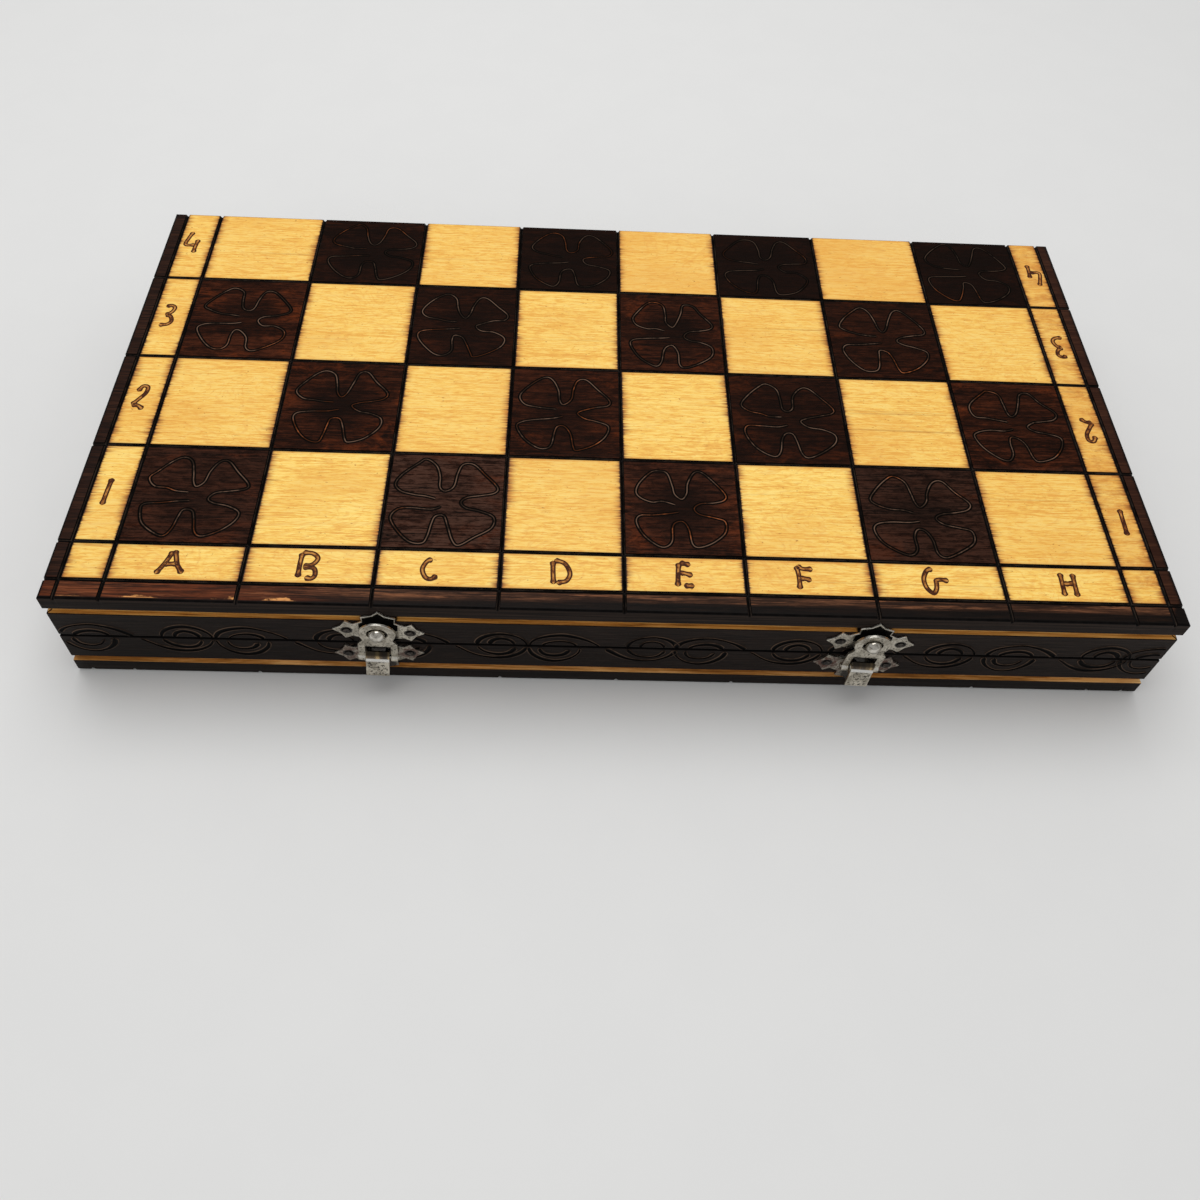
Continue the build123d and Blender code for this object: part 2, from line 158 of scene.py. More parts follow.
# Tones as a picture editor shows them, sRGB from 0 to 255
tones = {
    "pale": (255, 226, 130), "gold": (253, 210, 102), "honey": (232, 172, 74), "fleck": (160, 100, 38),
    "amber": (226, 158, 70), "haze": (196, 122, 46), "rim": (132, 74, 24), "burn": (30, 13, 6),
    "stainDeep": (16, 8, 5), "stain": (44, 19, 9), "stainWarm": (88, 43, 24), "stainRed": (124, 56, 23),
    "stainGrey": (74, 51, 41), "borderDeep": (26, 15, 10), "border": (70, 43, 28), "borderWarm": (114, 74, 50),
    "borderPale": (156, 100, 66), "borderBlack": (7, 5, 4), "wornWood": (216, 150, 88),
    "black": (14, 10, 8), "charcoal": (34, 26, 22), "charcoalPale": (57, 45, 38), "seamBlack": (4, 3, 3),
    "grooveDeep": (5, 4, 4), "groove": (16, 13, 12), "grooveGlint": (98, 84, 74),
    "cloverCut": (3, 2, 1), "cloverWall": (5, 3, 2), "cloverRim": (28, 14, 8),
    "cloverGrey": (118, 92, 76), "cloverCopper": (178, 100, 56),
    "letterBurn": (66, 30, 10), "letterBrown": (146, 88, 36), "letterPale": (196, 136, 66),
    "letterSide": (58, 25, 8), "letterRim": (150, 90, 34),
    "scrollCut": (1, 1, 1), "scrollWall": (2, 1, 1), "scrollLip": (108, 87, 72), "scrollFoot": (48, 40, 35),
    "scrollOuter": (36, 30, 27), "scrollDim": (3, 2, 2),
    "nickel": (150, 143, 129), "nickelPale": (204, 197, 182), "pit": (54, 48, 42), "tarnish": (74, 42, 29),
    "rubbed": (240, 236, 226), "foldWhite": (255, 253, 247), "noseTop": (20, 15, 12),
    "ball": (160, 154, 143), "ballPale": (212, 207, 197), "rust": (86, 47, 33), "hole": (24, 17, 13),
    "behind": (26, 18, 14), "field": (5, 4, 4), "fieldPale": (15, 12, 10),
    "floor": (224, 224, 223), "floorDim": (205, 205, 206),
}
bareTones = ((0.34, (205, 158, 100)), (0.5, (224, 184, 128)), (0.66, (238, 206, 156)))
ledgeTones = ((0.36, (112, 72, 32)), (0.48, (186, 134, 70)), (0.58, (236, 194, 130)))
rebateTones = ((0.38, (110, 70, 30)), (0.48, (192, 140, 70)), (0.6, (228, 184, 108)))
noseReflectionTones = ((0.4, (52, 41, 32)), (0.52, (104, 84, 60)), (0.62, (204, 174, 124)))
brassTones = ((0.36, (134, 98, 48)), (0.5, (196, 156, 84)), (0.66, (224, 190, 118)))
nailTones = ((0.36, (22, 17, 14)), (0.52, (54, 47, 41)), (0.66, (98, 91, 84)))
lightManTones = ((0.36, (206, 152, 84)), (0.5, (232, 184, 116)), (0.64, (244, 206, 146)))
darkManTones = ((0.36, (38, 18, 11)), (0.5, (70, 34, 20)), (0.64, (108, 56, 32)))


def mathMethod(operation):
    return lambda self, other=0.0: calc(operation, self, other)


# An output socket that takes plain arithmetic; every operation adds one math node
class Value:
    def __init__(self, socket):
        self.socket = socket

    __add__ = __radd__ = mathMethod("ADD")
    __mul__ = __rmul__ = mathMethod("MULTIPLY")
    __sub__, __truediv__, __pow__ = mathMethod("SUBTRACT"), mathMethod("DIVIDE"), mathMethod("POWER")
    __lt__, __gt__, __abs__ = mathMethod("LESS_THAN"), mathMethod("GREATER_THAN"), mathMethod("ABSOLUTE")

    def __rsub__(self, other):
        return calc("SUBTRACT", other, self)


# Links a value to a socket, or sets a constant on it
def plug(socket, value):
    if isinstance(value, Value):
        tree.links.new(value.socket, socket)
    else:
        socket.default_value = value


def addNode(kind, inputs=None, output=0, **options):
    made = tree.nodes.new(kind)
    for key, value in options.items():
        setattr(made, key, value)
    for key, value in (inputs or {}).items():
        plug(made.inputs[key], value)
    return Value(made.outputs[output])


def calc(operation, a, b=0.0):
    return addNode("ShaderNodeMath", {0: a, 1: b}, operation=operation)


def largest(first, *others):
    for other in others:
        first = calc("MAXIMUM", first, other)
    return first


def smallest(first, *others):
    for other in others:
        first = calc("MINIMUM", first, other)
    return first


# Straight scale from one range to another, held inside the new range; ease does it with soft ends
def remap(value, low, high, newLow=0.0, newHigh=1.0, kind="LINEAR"):
    inputs = {"Value": value, "From Min": low, "From Max": high, "To Min": newLow, "To Max": newHigh}
    return addNode("ShaderNodeMapRange", inputs, interpolation_type=kind)


def ease(*scale):
    return remap(*scale, kind="SMOOTHSTEP")


# A tone's name or its sRGB numbers as the linear colour that sockets take
def linear(colour):
    if isinstance(colour, Value):
        return colour
    c = np.array(tones[colour] if isinstance(colour, str) else colour) / 255
    c = np.where(c < 0.04045, c / 12.92, ((c + 0.055) / 1.055) ** 2.4)
    return (*c.tolist(), 1.0)


def mix(factor, a, b):
    return addNode("ShaderNodeMix", {0: factor, 6: linear(a), 7: linear(b)}, output=2, data_type="RGBA")


# Washes laid over a colour one after another, each a strength and a tone
def washed(colour, *washes):
    for strength, tone in washes:
        colour = mix(strength, colour, tone)
    return colour


def ramp(factor, stops):
    made = addNode("ShaderNodeValToRGB", {0: factor})
    edge = made.socket.node.color_ramp.elements
    edge[0].position, edge[0].color = stops[0][0], linear(stops[0][1])
    edge[1].position, edge[1].color = stops[-1][0], linear(stops[-1][1])
    for place, colour in stops[1:-1]:
        edge.new(place).color = linear(colour)
    return made


def tag(name):
    return addNode("ShaderNodeAttribute", output=2, attribute_name=name)


def objectPlace():
    return addNode("ShaderNodeTexCoord", output=3)


# The object's own x, y and z in millimetres
def axes():
    split = addNode("ShaderNodeSeparateXYZ", {0: objectPlace()}).socket.node
    return [Value(socket) / mm for socket in split.outputs]


# Noise in the object's own coordinates, stretched by a number of waves per metre along each axis
def grain(waves, detail=3.0, roughness=0.55, distortion=0.0, shift=(0, 0, 0)):
    scale = waves if isinstance(waves, tuple) else (waves, waves, waves)
    place = addNode("ShaderNodeMapping", {"Vector": objectPlace(), "Scale": scale, "Location": shift})
    inputs = {"Vector": place, "Scale": 1.0, "Detail": detail, "Roughness": roughness, "Distortion": distortion}
    return addNode("ShaderNodeTexNoise", inputs)


def bump(height, strength, distance):
    return addNode("ShaderNodeBump", {"Height": height, "Strength": strength, "Distance": distance})


def surface(colour, rough, relief, specular=0.5, metallic=0.0):
    shine = {"Roughness": rough, "Specular IOR Level": specular, "Metallic": metallic}
    return {"Base Color": colour, "Normal": relief, **shine}


# A named material whose shader takes linked sockets from the recipe and plain numbers on its own sockets
def newMaterial(name, recipe, *details, **more):
    global tree
    material = bpy.data.materials.new(name)
    material.use_nodes = True
    tree = material.node_tree
    shader = tree.nodes["Principled BSDF"]
    for key, value in recipe(*details, **more).items():
        plug(shader.inputs[key], value)
    return material


# Wood

wood = {
    "fine": ((60, 1900), 4.0, 0.7), "figure": ((7, 95), 4.0, 0.62, 1.8),
    "blotch": ((18, 34), 2.0, 0.5), "dash": ((200, 2400), 2.0, 0.5),
    "scorchReach": 7.5, "hazeReach": 3.4, "wornPlaces": ((-186.5, 8.5), (-165.0, 12.0), (-137.5, 6.0), (-118.5, 7.5)),
    "rebate": 14.88, "crowns": (-85.6, 89.9), "crownHalf": (6.0, 6.8),
}


# Any of the fine fibres, the slow wavy figure, the blotches and the short dashes, all drawn out along the grain
def fibres(*kinds, along="x"):
    made = []
    for kind in kinds:
        (lengthwise, across), *rest = wood[kind]
        waves = (lengthwise, across, across) if along == "x" else (across, lengthwise, across)
        made.append(grain(waves, *rest))
    return made


# Stain that has run in from the cuts: a brown haze, fine streaks along the fibres that fade out, and a thin dark hem
def scorch(colour):
    toSide, toRow = tag("toSide"), tag("toRow")
    streak = remap(grain((30, 1700, 1700), 4.0, 0.8, 0.0, (3, 1, 2)), 0.4, 0.66)
    slow = ease(grain((16, 60, 60), 3.0, 0.6, 0.0, (8, 2, 4)), 0.34, 0.66, 0.25, 1.0)
    haze = slow * ease(toSide, 0.0, wood["hazeReach"], 0.8, 0.0)
    haze = haze * ease(grain((30, 900, 900), 3.0, 0.7, 0.0, (1, 5, 2)), 0.36, 0.6, 0.3, 1.1)
    haze = largest(haze, slow * ease(toRow, 0.0, 1.6, 0.6, 0.0))
    length = streak**1.7 * slow * wood["scorchReach"] + 0.3
    hem = remap(toSide / remap(streak, 0.0, 0.9, 0.1, 0.9), 0.0, 1.0, 1.0, 0.0)
    hem = largest(hem, ease(toRow, 0.0, 0.3, 0.6, 0.0))
    return washed(colour, (haze, "haze"), (remap(toSide / length, 0.0, 1.0, 0.9, 0.0), "rim"), (hem, "burn"))


def lightSquareRecipe():
    fine, figure, blotch, dash = fibres("fine", "figure", "blotch", "dash")
    strands = grain((170, 1400, 1400), 3.0, 0.8, 0.3, (5, 5, 5))
    curl = grain((16, 40, 40), 3.0, 0.6, 2.6, (4, 4, 4))
    curl = abs(calc("FRACT", curl * 9.0) - 0.5)
    grime = ease(axes()[0], 176, 192) * ease(grain((120, 220, 220), 4.0, 0.75, 0.5, (2, 9, 2)), 0.4, 0.66, 0.12, 0.75)
    crack = grain((4, 300, 300), 1.0, 0.5, 0.3, (2, 6, 2))
    speck = grain((700, 1500, 1500), 2.0, 0.5, 0.0, (3, 3, 3))
    colour = washed(
        ramp(fine * 0.34 + strands * 0.46 + figure * 0.2, ((0.43, "honey"), (0.49, "gold"), (0.55, "pale"))),
        (ease(figure, 0.6, 0.7, 0.0, 0.24), "amber"), (ease(blotch, 0.45, 0.7, 0.0, 0.4), "honey"),
        # cells more amber by random tone and by painted shade towards the right and back
        (ease(curl, 0.2, 0.0, 0.0, 0.34), "amber"), (tag("cellToneAndShade"), "amber"), (grime, "haze"),
        (ease(crack, 0.69, 0.76, 0.0, 0.4), "fleck"), (ease(speck, 0.69, 0.75, 0.0, 0.75), "fleck"),
        (ease(dash, 0.66, 0.76, 0.0, 0.45), "fleck"),
    )
    return surface(scorch(colour), ease(fine, 0.3, 0.7, 0.38, 0.5), bump(fine, 0.25, 0.0002), 0.2)


# Stained squares: nearly black about the pressed figure, redder towards the cuts; the front row greyed by a painted
# sheen, the back row darkened by painted shade
def darkSquareRecipe():
    fine, figure, blotch, dash = fibres("fine", "figure", "blotch", "dash")
    y, soot, toMiddle = axes()[1], tag("cellSoot"), tag("toMiddle")
    mottle = grain((200, 620, 620), 4.0, 0.78, 0.5, (6, 2, 8))
    patch = ease(grain((34, 70, 70), 5.0, 0.74, 0.6, (7, 3, 1)), 0.5, 0.68)
    patch = patch * ease(toMiddle, 9.0, 24.0, 0.1, 1.0) * ease(mottle, 0.36, 0.62, 0.15, 0.8)
    # painted sheen: the front row greyed as if by a soft reflection on the varnish
    paintedSheen = ease(y, -30, -36) * ease(fine * 0.5 + mottle * 0.5, 0.42, 0.58, 0.0, 0.9)
    paintedSheen = paintedSheen * remap(soot, 0.1, 0.9, 1.0, 0.15)
    inner = ease(toMiddle, 5.0, 19.0, 0.85, 0.0) * soot * ease(blotch, 0.35, 0.6, 0.3, 1.0)
    colour = washed(
        ramp(fine * 0.4 + figure * 0.25 + mottle * 0.35, ((0.4, "stainDeep"), (0.49, "stain"), (0.6, "stainWarm"))),
        (patch, "stainRed"), (ease(dash, 0.66, 0.74, 0.0, 0.35), "stainRed"),
        # painted shade: cells darkened by their painted shade tone, and the back row darker still where the light
        # falls off
        (remap(tag("cellToneAndShade"), 0.05, 0.42, 0.0, 0.8), "stainDeep"), (ease(y, 52, 62, 0.0, 0.6), "stainDeep"),
        (paintedSheen, "stainGrey"), (inner, "stainDeep"),
    )
    return surface(colour, ease(fine, 0.3, 0.7, 0.34, 0.5), bump(fine, 0.5, 0.0003), 0.025)


# The strip round the board: stained, blacker along the front arris towards the right, rubbed bare at the worn places
def borderRecipe():
    fine, figure, dash = fibres("fine", "figure", "dash")
    x, y = axes()[:2]
    toArris = tag("toArris")
    onFront = ease(y, -91.0, -92.4)
    atLeft = ease(x, -194.2, -194.8) * (1.0 - onFront)
    runs = grain((45, 800, 800), 4.0, 0.78, 0.0, (4, 7, 1))
    reach = remap(x, -180, -10, 1.1, 3.9) * (onFront * 0.7 + 0.3)
    band = grain((30, 300, 300), 3.0, 0.6, 0.0, (9, 1, 3)) * 2.0 + toArris - reach
    redder = ease(fine, 0.34, 0.62, 0.1, 0.5) * ease(x, -150, -80, 1.0, 0.0) * onFront
    worn = 0.0
    for middle, half in wood["wornPlaces"]:
        worn = largest(worn, ease(abs(x - middle), half, 0.4 * half))
    worn = worn * ease(y, -97.2, -96.4, 1.0, 0.0) * remap(grain(110, 4.0, 0.7, 0.0, (5, 2, 9)), 0.38, 0.64, 0.1, 1.7)
    near = toArris - 0.9
    worn = worn * remap(grain((110, 1500, 1500), 3.0, 0.7), 0.34, 0.6, 0.0, 1.5) - near
    worn = ease(worn, 0.0, 0.7, 0.0, 0.95) * ease(near, 0.0, 0.3)
    colour = washed(
        ramp(fine, ((0.34, "borderDeep"), (0.5, "border"), (0.7, "borderWarm"))),
        (ease(dash, 0.6, 0.75, 0.0, 0.5), "borderWarm"), (ease(figure, 0.44, 0.62, 0.0, 0.7), "borderDeep"),
        (ease(abs(x), 194.4, 194.8, 0.0, 0.7), "stain"), (atLeft * ease(fine, 0.36, 0.6, 0.9, 0.3), "stainDeep"),
        (onFront * ease(runs, 0.44, 0.34, 0.0, 0.5), "borderPale"), (ease(band, 0.1, 1.9, 0.94, 0.0), "borderBlack"),
        (redder, "stainRed"), (onFront * ease(runs, 0.5, 0.6, 0.0, 0.7), "borderDeep"), (worn, "wornWood"),
        (ease(near, 0.15, -0.1, 0.0, 0.9), "black"),
    )
    return surface(colour, 0.42, bump(fine, 0.4, 0.0003), 0.06)


def grooveRecipe():
    fine = grain(300)
    inward = smallest(tag("toSide"), tag("toRow"))
    glint = ease(inward, -0.5, -0.36) * ease(inward, -0.12, -0.26)
    glint = glint * ease(grain(110, 4.0, 0.75), 0.4, 0.64, 0.04, 0.34)
    colour = mix(glint, ramp(fine, ((0.35, "grooveDeep"), (0.7, "groove"))), "grooveGlint")
    return surface(colour, 0.4, bump(fine, 0.4, 0.0003), 0.04)


# Panel edges: brushed with a nearly black stain, a painted highlight just under the upper arris, darker towards the
# bottom
def edgeRecipe():
    fine = grain((24, 24, 1900), 3.0, 0.6)
    up = axes()[2] - seamZ
    colour = washed(
        ramp(fine, ((0.34, "black"), (0.52, "charcoal"), (0.72, "charcoalPale"))),
        # painted highlight just under the upper arris, then darker towards the bottom
        (ease(up, 22.4, 24.2, 0.0, 0.4), "charcoalPale"), (ease(up, -18, 18, 0.5, 0.0), "black"),
    )
    return surface(colour, 0.45, bump(fine, 0.3, 0.0003), 0.04)


# How far a place lies outside the case's faces
def outsideCase(x, y):
    return largest(abs(x) - halfLength, abs(y) - halfDepth)


# Unstained wood of the panels: bare inside the case, golden on the ledge that shows beside the rails
def bareRecipe():
    fine, figure, dash = fibres("fine", "figure", "dash")
    mixed = fine * 0.4 + figure * 0.6
    colour = washed(
        ramp(mixed, bareTones), (ease(dash, 0.64, 0.78, 0.0, 0.4), "fleck"),
        (ease(outsideCase(*axes()[:2]), -5.0, -4.5), ramp(mixed, ledgeTones)),
    )
    return surface(colour, 0.6, bump(fine, 0.25, 0.0003), 0.1)


# Nought close beside the two crowns in the lid's front rebate, which stays black there; one elsewhere
def offCrowns(x, y, z):
    away = smallest(*(abs(x - place) for place in wood["crowns"]))
    return largest(ease(away, *wood["crownHalf"]), z < seamZ, y > 0.0)


# Rails by where the wood is: stained outside and black at the seam, golden in the rebate, bare within
def railRecipe(along):
    fine, figure = fibres("fine", "figure", along=along)
    mixed = fine * 0.5 + figure * 0.5
    x, y, z = axes()
    fromSeam = abs(z - seamZ)
    colour = washed(
        ramp(fine, ((0.34, "black"), (0.52, "charcoal"), (0.74, "charcoalPale"))),
        ((z < seamZ) * 0.16 + ease(x, -200, 140, 0.36, 0.0), "black"),
        (ease(fromSeam, 0.6, 0.85, 1.0, 0.0), "seamBlack"),
        ((fromSeam > wood["rebate"]) * offCrowns(x, y, z), ramp(mixed, rebateTones)),
        (ease(fine * 3.0 - outsideCase(x, y), 4.2, 5.0), ramp(mixed, bareTones)),
    )
    return surface(colour, 0.45, bump(fine, 0.35, 0.0003), 0.04)


lightSquareWood = newMaterial("light square wood", lightSquareRecipe)
darkSquareWood = newMaterial("dark square wood", darkSquareRecipe)
borderWood = newMaterial("border wood", borderRecipe)
grooveBlack = newMaterial("sawn groove", grooveRecipe)
edgeWood = newMaterial("panel edge", edgeRecipe)
bareWood = newMaterial("bare wood", bareRecipe)
railWoodX = newMaterial("rail wood lengthwise", railRecipe, "x")
railWoodY = newMaterial("rail wood endwise", railRecipe, "y")
print("wood materials made")

# The two halves of the board

board = {
    "thickness": 7.2, "skin": 0.12, "arris": 0.8, "pitch": 45.0, "firstFile": -180.0, "firstRow": -76.8,
    "fileStrays": (0.6, 1.8, 2.7, 1.1, -0.1, -1.4, -0.9, 1.2, 1.0), "rowStrays": (0.0, -1.7, -0.7, 0.2),
    "sideLine": 194.6, "frontLine": -92.4, "grooveWidth": 1.56, "grooveDepth": 1.0, "wander": 0.12,
    "step": 3.0, "stepGap": 1.0, "toneSeed": 3, "toneRange": (0.0, 0.22), "shadeAlong": (0.0, 0.14),
    "shadeAcross": (-0.04, 0.2), "sootSeed": 18395, "sootRange": (0.1, 1.0), "firstSoot": 0.8,
}
fileLines = [board["firstFile"] + i * board["pitch"] + stray for i, stray in enumerate(board["fileStrays"])]
rowLines = [board["firstRow"] + i * board["pitch"] + stray for i, stray in enumerate(board["rowStrays"])]
linesX = np.array([-board["sideLine"], *fileLines, board["sideLine"]])
linesY = np.array([board["frontLine"], *rowLines])
halfGroove = board["grooveWidth"] / 2


# Places along one side of the board: close together at cuts and arrises, every few millimetres between
def stations(lines, half):
    offsets = np.array([-0.62, -0.5, -0.36, -0.18, 0, 0.18, 0.36, 0.5, 0.62]) * board["grooveWidth"]
    near = (lines[:, None] + offsets).ravel()
    arris = board["arris"] * np.array([0, 0.06, 0.2, 0.45, 0.75, 1.0])
    fixed = np.concatenate([near, half - arris, arris - half])
    even = np.arange(-half, half, board["step"])
    even = even[np.abs(even[:, None] - fixed).min(1) > board["stepGap"]]
    return np.unique(np.round(np.concatenate([fixed, even]), 4))


# Slow sideways wander of each cut: a sum of two sines of the place along it
def cutWander(lines, along):
    k = np.arange(len(lines))[:, None]
    return board["wander"] * (np.sin(along / 61 + 2.1 * k) + 0.6 * np.sin(along / 23 + 4.7 * k))


# Distance inwards from the nearest outer edge
def fromRim(x, y):
    return np.minimum(halfLength - np.abs(x)[:, None], halfDepth - np.abs(y)[None, :])


# Depth below the outer plane: cuts are parabolas across their width, and the rim falls away as a quarter round
def boardDepth(x, y):
    acrossX = np.abs(x[:, None, None] - linesX - 0 * y[None, :, None]).min(2)
    acrossY = np.abs(y[None, :, None] - linesY - 0 * x[:, None, None]).min(2)
    cut = np.maximum(*(np.clip(1 - (across / halfGroove) ** 2, 0, 1) for across in (acrossX, acrossY)))
    rim, r = fromRim(x, y), board["arris"]
    inside = np.clip(r - rim, 0, r)
    depth = board["skin"] + board["grooveDepth"] * cut + r - np.sqrt(r * r - inside**2)
    return depth, acrossX - halfGroove, acrossY - halfGroove, rim


# Distance from the middle of the cell that a point lies in
def fromCellMiddle(x, y):
    away = []
    for values, lines, half in ((x, linesX, halfLength), (y, linesY, halfDepth)):
        edges = np.array([-half, *lines, half])
        i = np.clip(np.searchsorted(edges, values) - 1, 0, len(edges) - 2)
        away.append(values - (edges[i] + edges[i + 1]) / 2)
    return np.hypot(away[0][:, None], away[1][None])


# Kind of each face as its place in the list of materials: light, dark, border, groove; labels lie on light wood
def faceKinds(x, y, upper):
    cutX, cutY = (np.abs(at[:, None] - cuts).min(1) < halfGroove for at, cuts in ((x, linesX), (y, linesY)))
    file, row = np.searchsorted(linesX, x) - 1, np.searchsorted(linesY, y) - 1
    labels = ((file == 0) | (file == 9))[:, None] | (row == 0)[None]
    border = ((file < 0) | (file > 9))[:, None] | (row < 0)[None]
    dark = (file[:, None] + (row if upper else 9 - row)[None]) % 2 == 0
    kind = np.where(cutX[:, None] | cutY, 3, np.where(border, 2, np.where(labels, 0, np.where(dark, 1, 0))))
    return np.where(fromRim(x, y) < 0.7 * board["arris"], 3, kind)


def makeBoard(half, body, upper):
    x, y = stations(linesX, halfLength), stations(linesY, halfDepth)
    depth, toSide, toRow, toArris = boardDepth(x, y)
    gx, gy = np.meshgrid(x, y, indexing="ij")
    wanderX = np.array([np.interp(x, linesX, column) for column in cutWander(linesX, y).T]).T
    wanderY = np.array([np.interp(y, linesY, row) for row in cutWander(linesY, x).T])
    edge = np.clip(toArris / 4, 0, 1)
    top = np.stack([gx + wanderX * edge, gy + wanderY * edge, depth], -1).reshape(-1, 3)
    nx, ny = len(x), len(y)
    loop = [i * ny for i in range(nx)] + [(nx - 1) * ny + j for j in range(1, ny)]
    loop += [i * ny + ny - 1 for i in range(nx - 2, -1, -1)] + [j for j in range(ny - 2, 0, -1)]
    low = top[loop].copy()
    low[:, 2] = board["thickness"]
    points = np.vstack([top, low])
    points[:, 2] = topZ - points[:, 2] if upper else points[:, 2]
    m, count = len(loop), nx * ny
    walls = [[loop[i], loop[(i + 1) % m], count + (i + 1) % m, count + i] for i in range(m)]
    faces = gridFaces(nx, ny) + walls + [[count + i for i in range(m)]]
    kinds = [*faceKinds((x[:-1] + x[1:]) / 2, (y[:-1] + y[1:]) / 2, upper).ravel(), *[4] * m, 5]
    cellX, cellY = np.clip(np.searchsorted(linesX, x), 0, 11), np.clip(np.searchsorted(linesY, y), 0, 6)
    # Tone of each cell: random, plus painted shade that grows towards the right and the back
    tone = np.random.default_rng(board["toneSeed"] + upper).uniform(*board["toneRange"], (12, 7))
    tone = tone + np.linspace(*board["shadeAlong"], 12)[:, None] + np.linspace(*board["shadeAcross"], 7)
    soot = np.random.default_rng(board["sootSeed"]).uniform(*board["sootRange"], (12, 7))
    soot[2, 2] = board["firstSoot"]
    # each tag: its values on the top grid, and one value for the points of the inner face
    tagged = {
        "toSide": (np.clip(toSide, -1, 9), 9.0), "toRow": (np.clip(toRow, -1, 9), 9.0), "toArris": (toArris, 9.0),
        "toMiddle": (fromCellMiddle(x, y), 30.0), "cellToneAndShade": (tone[cellX][:, cellY], 0.0),
        "cellSoot": (soot[cellX][:, cellY], 0.0),
    }
    tags = {key: np.concatenate([values.ravel(), np.full(m, within)]) for key, (values, within) in tagged.items()}
    materials = [lightSquareWood, darkSquareWood, borderWood, grooveBlack, edgeWood, bareWood]
    name = half + "_board"
    makePiece(name, points * mm, faces, materials, body, [name], tags, kinds)


for half in halves:
    makeBoard(*half)
print("boards made")

# Burnt and pressed lines: clovers, letters, numbers, scrolls

pen = {
    "clover": {"width": 1.7, "lip": 0.09, "spacing": 0.6, "blob": 0.0, "pulse": 0.0},
    "letter": {"width": 1.9, "lip": 0.08, "spacing": 0.35, "blob": 0.32, "pulse": 0.0},
    "scroll": {"width": 2.6, "lip": 0.24, "spacing": 0.6, "blob": 0.0, "pulse": 0.42},
}


# A line carried along a path: across it the height is the lip times sin squared of a half turn per half width,
# so there is a trough in the middle and a lip each side; both ends are rounded off, and swell where the pen rested
def pressedLine(path, look, lift=0.0):
    side = leftOf(path)
    along = walked(path)
    half = look["width"] / 2
    fromEnd = np.minimum(along, along[-1] - along)
    swell = 1 + look["blob"] * np.exp(-(((fromEnd - half) / (0.8 * half)) ** 2))
    swell += look["pulse"] * np.sin(along / 5.2 + path[0, 0])
    width = half * np.sqrt(1 - (1 - np.clip(fromEnd / half, 0.02, 1)) ** 2) * swell
    a = np.linspace(-1, 1, 9)
    rise = look["lip"] * np.sin(np.pi * np.abs(a)) ** 2 + 0.01 + lift
    flat = path[:, None] + side[:, None] * (width[:, None] * a)[:, :, None]
    top = np.concatenate([flat, np.broadcast_to(rise[:, None], (len(path), 9, 1))], -1)
    low = top[:, [8, 0]].copy()
    low[:, :, 2] = -0.06
    points = np.concatenate([top, low], 1)
    columns = points.shape[1]
    faces = gridFaces(len(path), columns, closeColumns=True)
    faces += [list(range(columns)), list(range((len(path) - 1) * columns, len(path) * columns))]
    return points.reshape(-1, 3), faces, np.tile(np.concatenate([np.abs(a), [1, 1]]), len(path))


def linePiece(name, points, faces, across, material, body, slot="board_wood"):
    makePiece(name, points, faces, [material], body, tags={"across": across}, sharpAt=60)


# Turns a flat figure about its middle and moves it
def placed(points, x, y, degrees):
    c, s = math.cos(math.radians(degrees)), math.sin(math.radians(degrees))
    p = np.array(points, float)
    return np.stack([x + p[:, 0] * c - p[:, 1] * s, y + p[:, 0] * s + p[:, 1] * c], -1)


# Figures lie in the board's own plane, x to the right and y away from its front; the lower half is seen from below
def onBoard(shell, upper):
    points, faces, across = shell
    surfaceZ = topZ - board["skin"] + points[:, 2] if upper else board["skin"] - points[:, 2]
    return np.stack([points[:, 0], points[:, 1], surfaceZ], -1) * mm, faces, across


def cloverRecipe():
    across = tag("across")
    dark = ramp(across, ((0.3, "cloverCut"), (0.8, "cloverWall"), (1.0, "cloverRim")))
    # painted highlight: a glint along the middle of each line, dimmer towards the back
    glint = mix(ease(grain(38, 2.0), 0.54, 0.62), "cloverGrey", "cloverCopper")
    shown = ease(grain(75, 4.0, 0.75), 0.58, 0.4, 0.12, 0.85) * ease(axes()[1], 50, 62, 1.0, 0.4)
    colour = mix(shown * ease(across, 0.3, 0.1), dark, glint)
    return surface(colour, 0.45, bump(grain((60, 1500, 1500)), 0.3, 0.0002), 0.02)


def letterRecipe():
    across, blot = tag("across"), grain(380, 3.0, 0.6)
    colour = washed(
        ramp(blot, ((0.4, "letterBurn"), (0.5, "letterBrown"), (0.6, "letterPale"))),
        (ease(blot * 0.5 + across, 0.5, 0.78), "letterSide"), (ease(across, 0.84, 1.0, 0.0, 0.8), "letterRim"),
    )
    return surface(colour, 0.5, bump(blot, 0.5, 0.0002), 0.1)


def scrollRecipe():
    across = tag("across")
    # painted highlight on the lips of the carved line
    stops = zip((0.0, 0.5, 0.62, 0.74, 1.0), ("scrollCut", "scrollWall", "scrollLip", "scrollFoot", "scrollOuter"))
    dim = ease(grain(60, 4.0, 0.7), 0.44, 0.62, 0.0, 0.75) * ease(across, 0.86, 0.74)
    colour = mix(dim, ramp(across, list(stops)), "scrollDim")
    return surface(colour, 0.5, bump(grain((70, 70, 1500)), 0.3, 0.0002), 0.02)


cloverLine = newMaterial("pressed clover line", cloverRecipe)
letterLine = newMaterial("burnt letter line", letterRecipe)
scrollLine = newMaterial("carved scroll line", scrollRecipe)

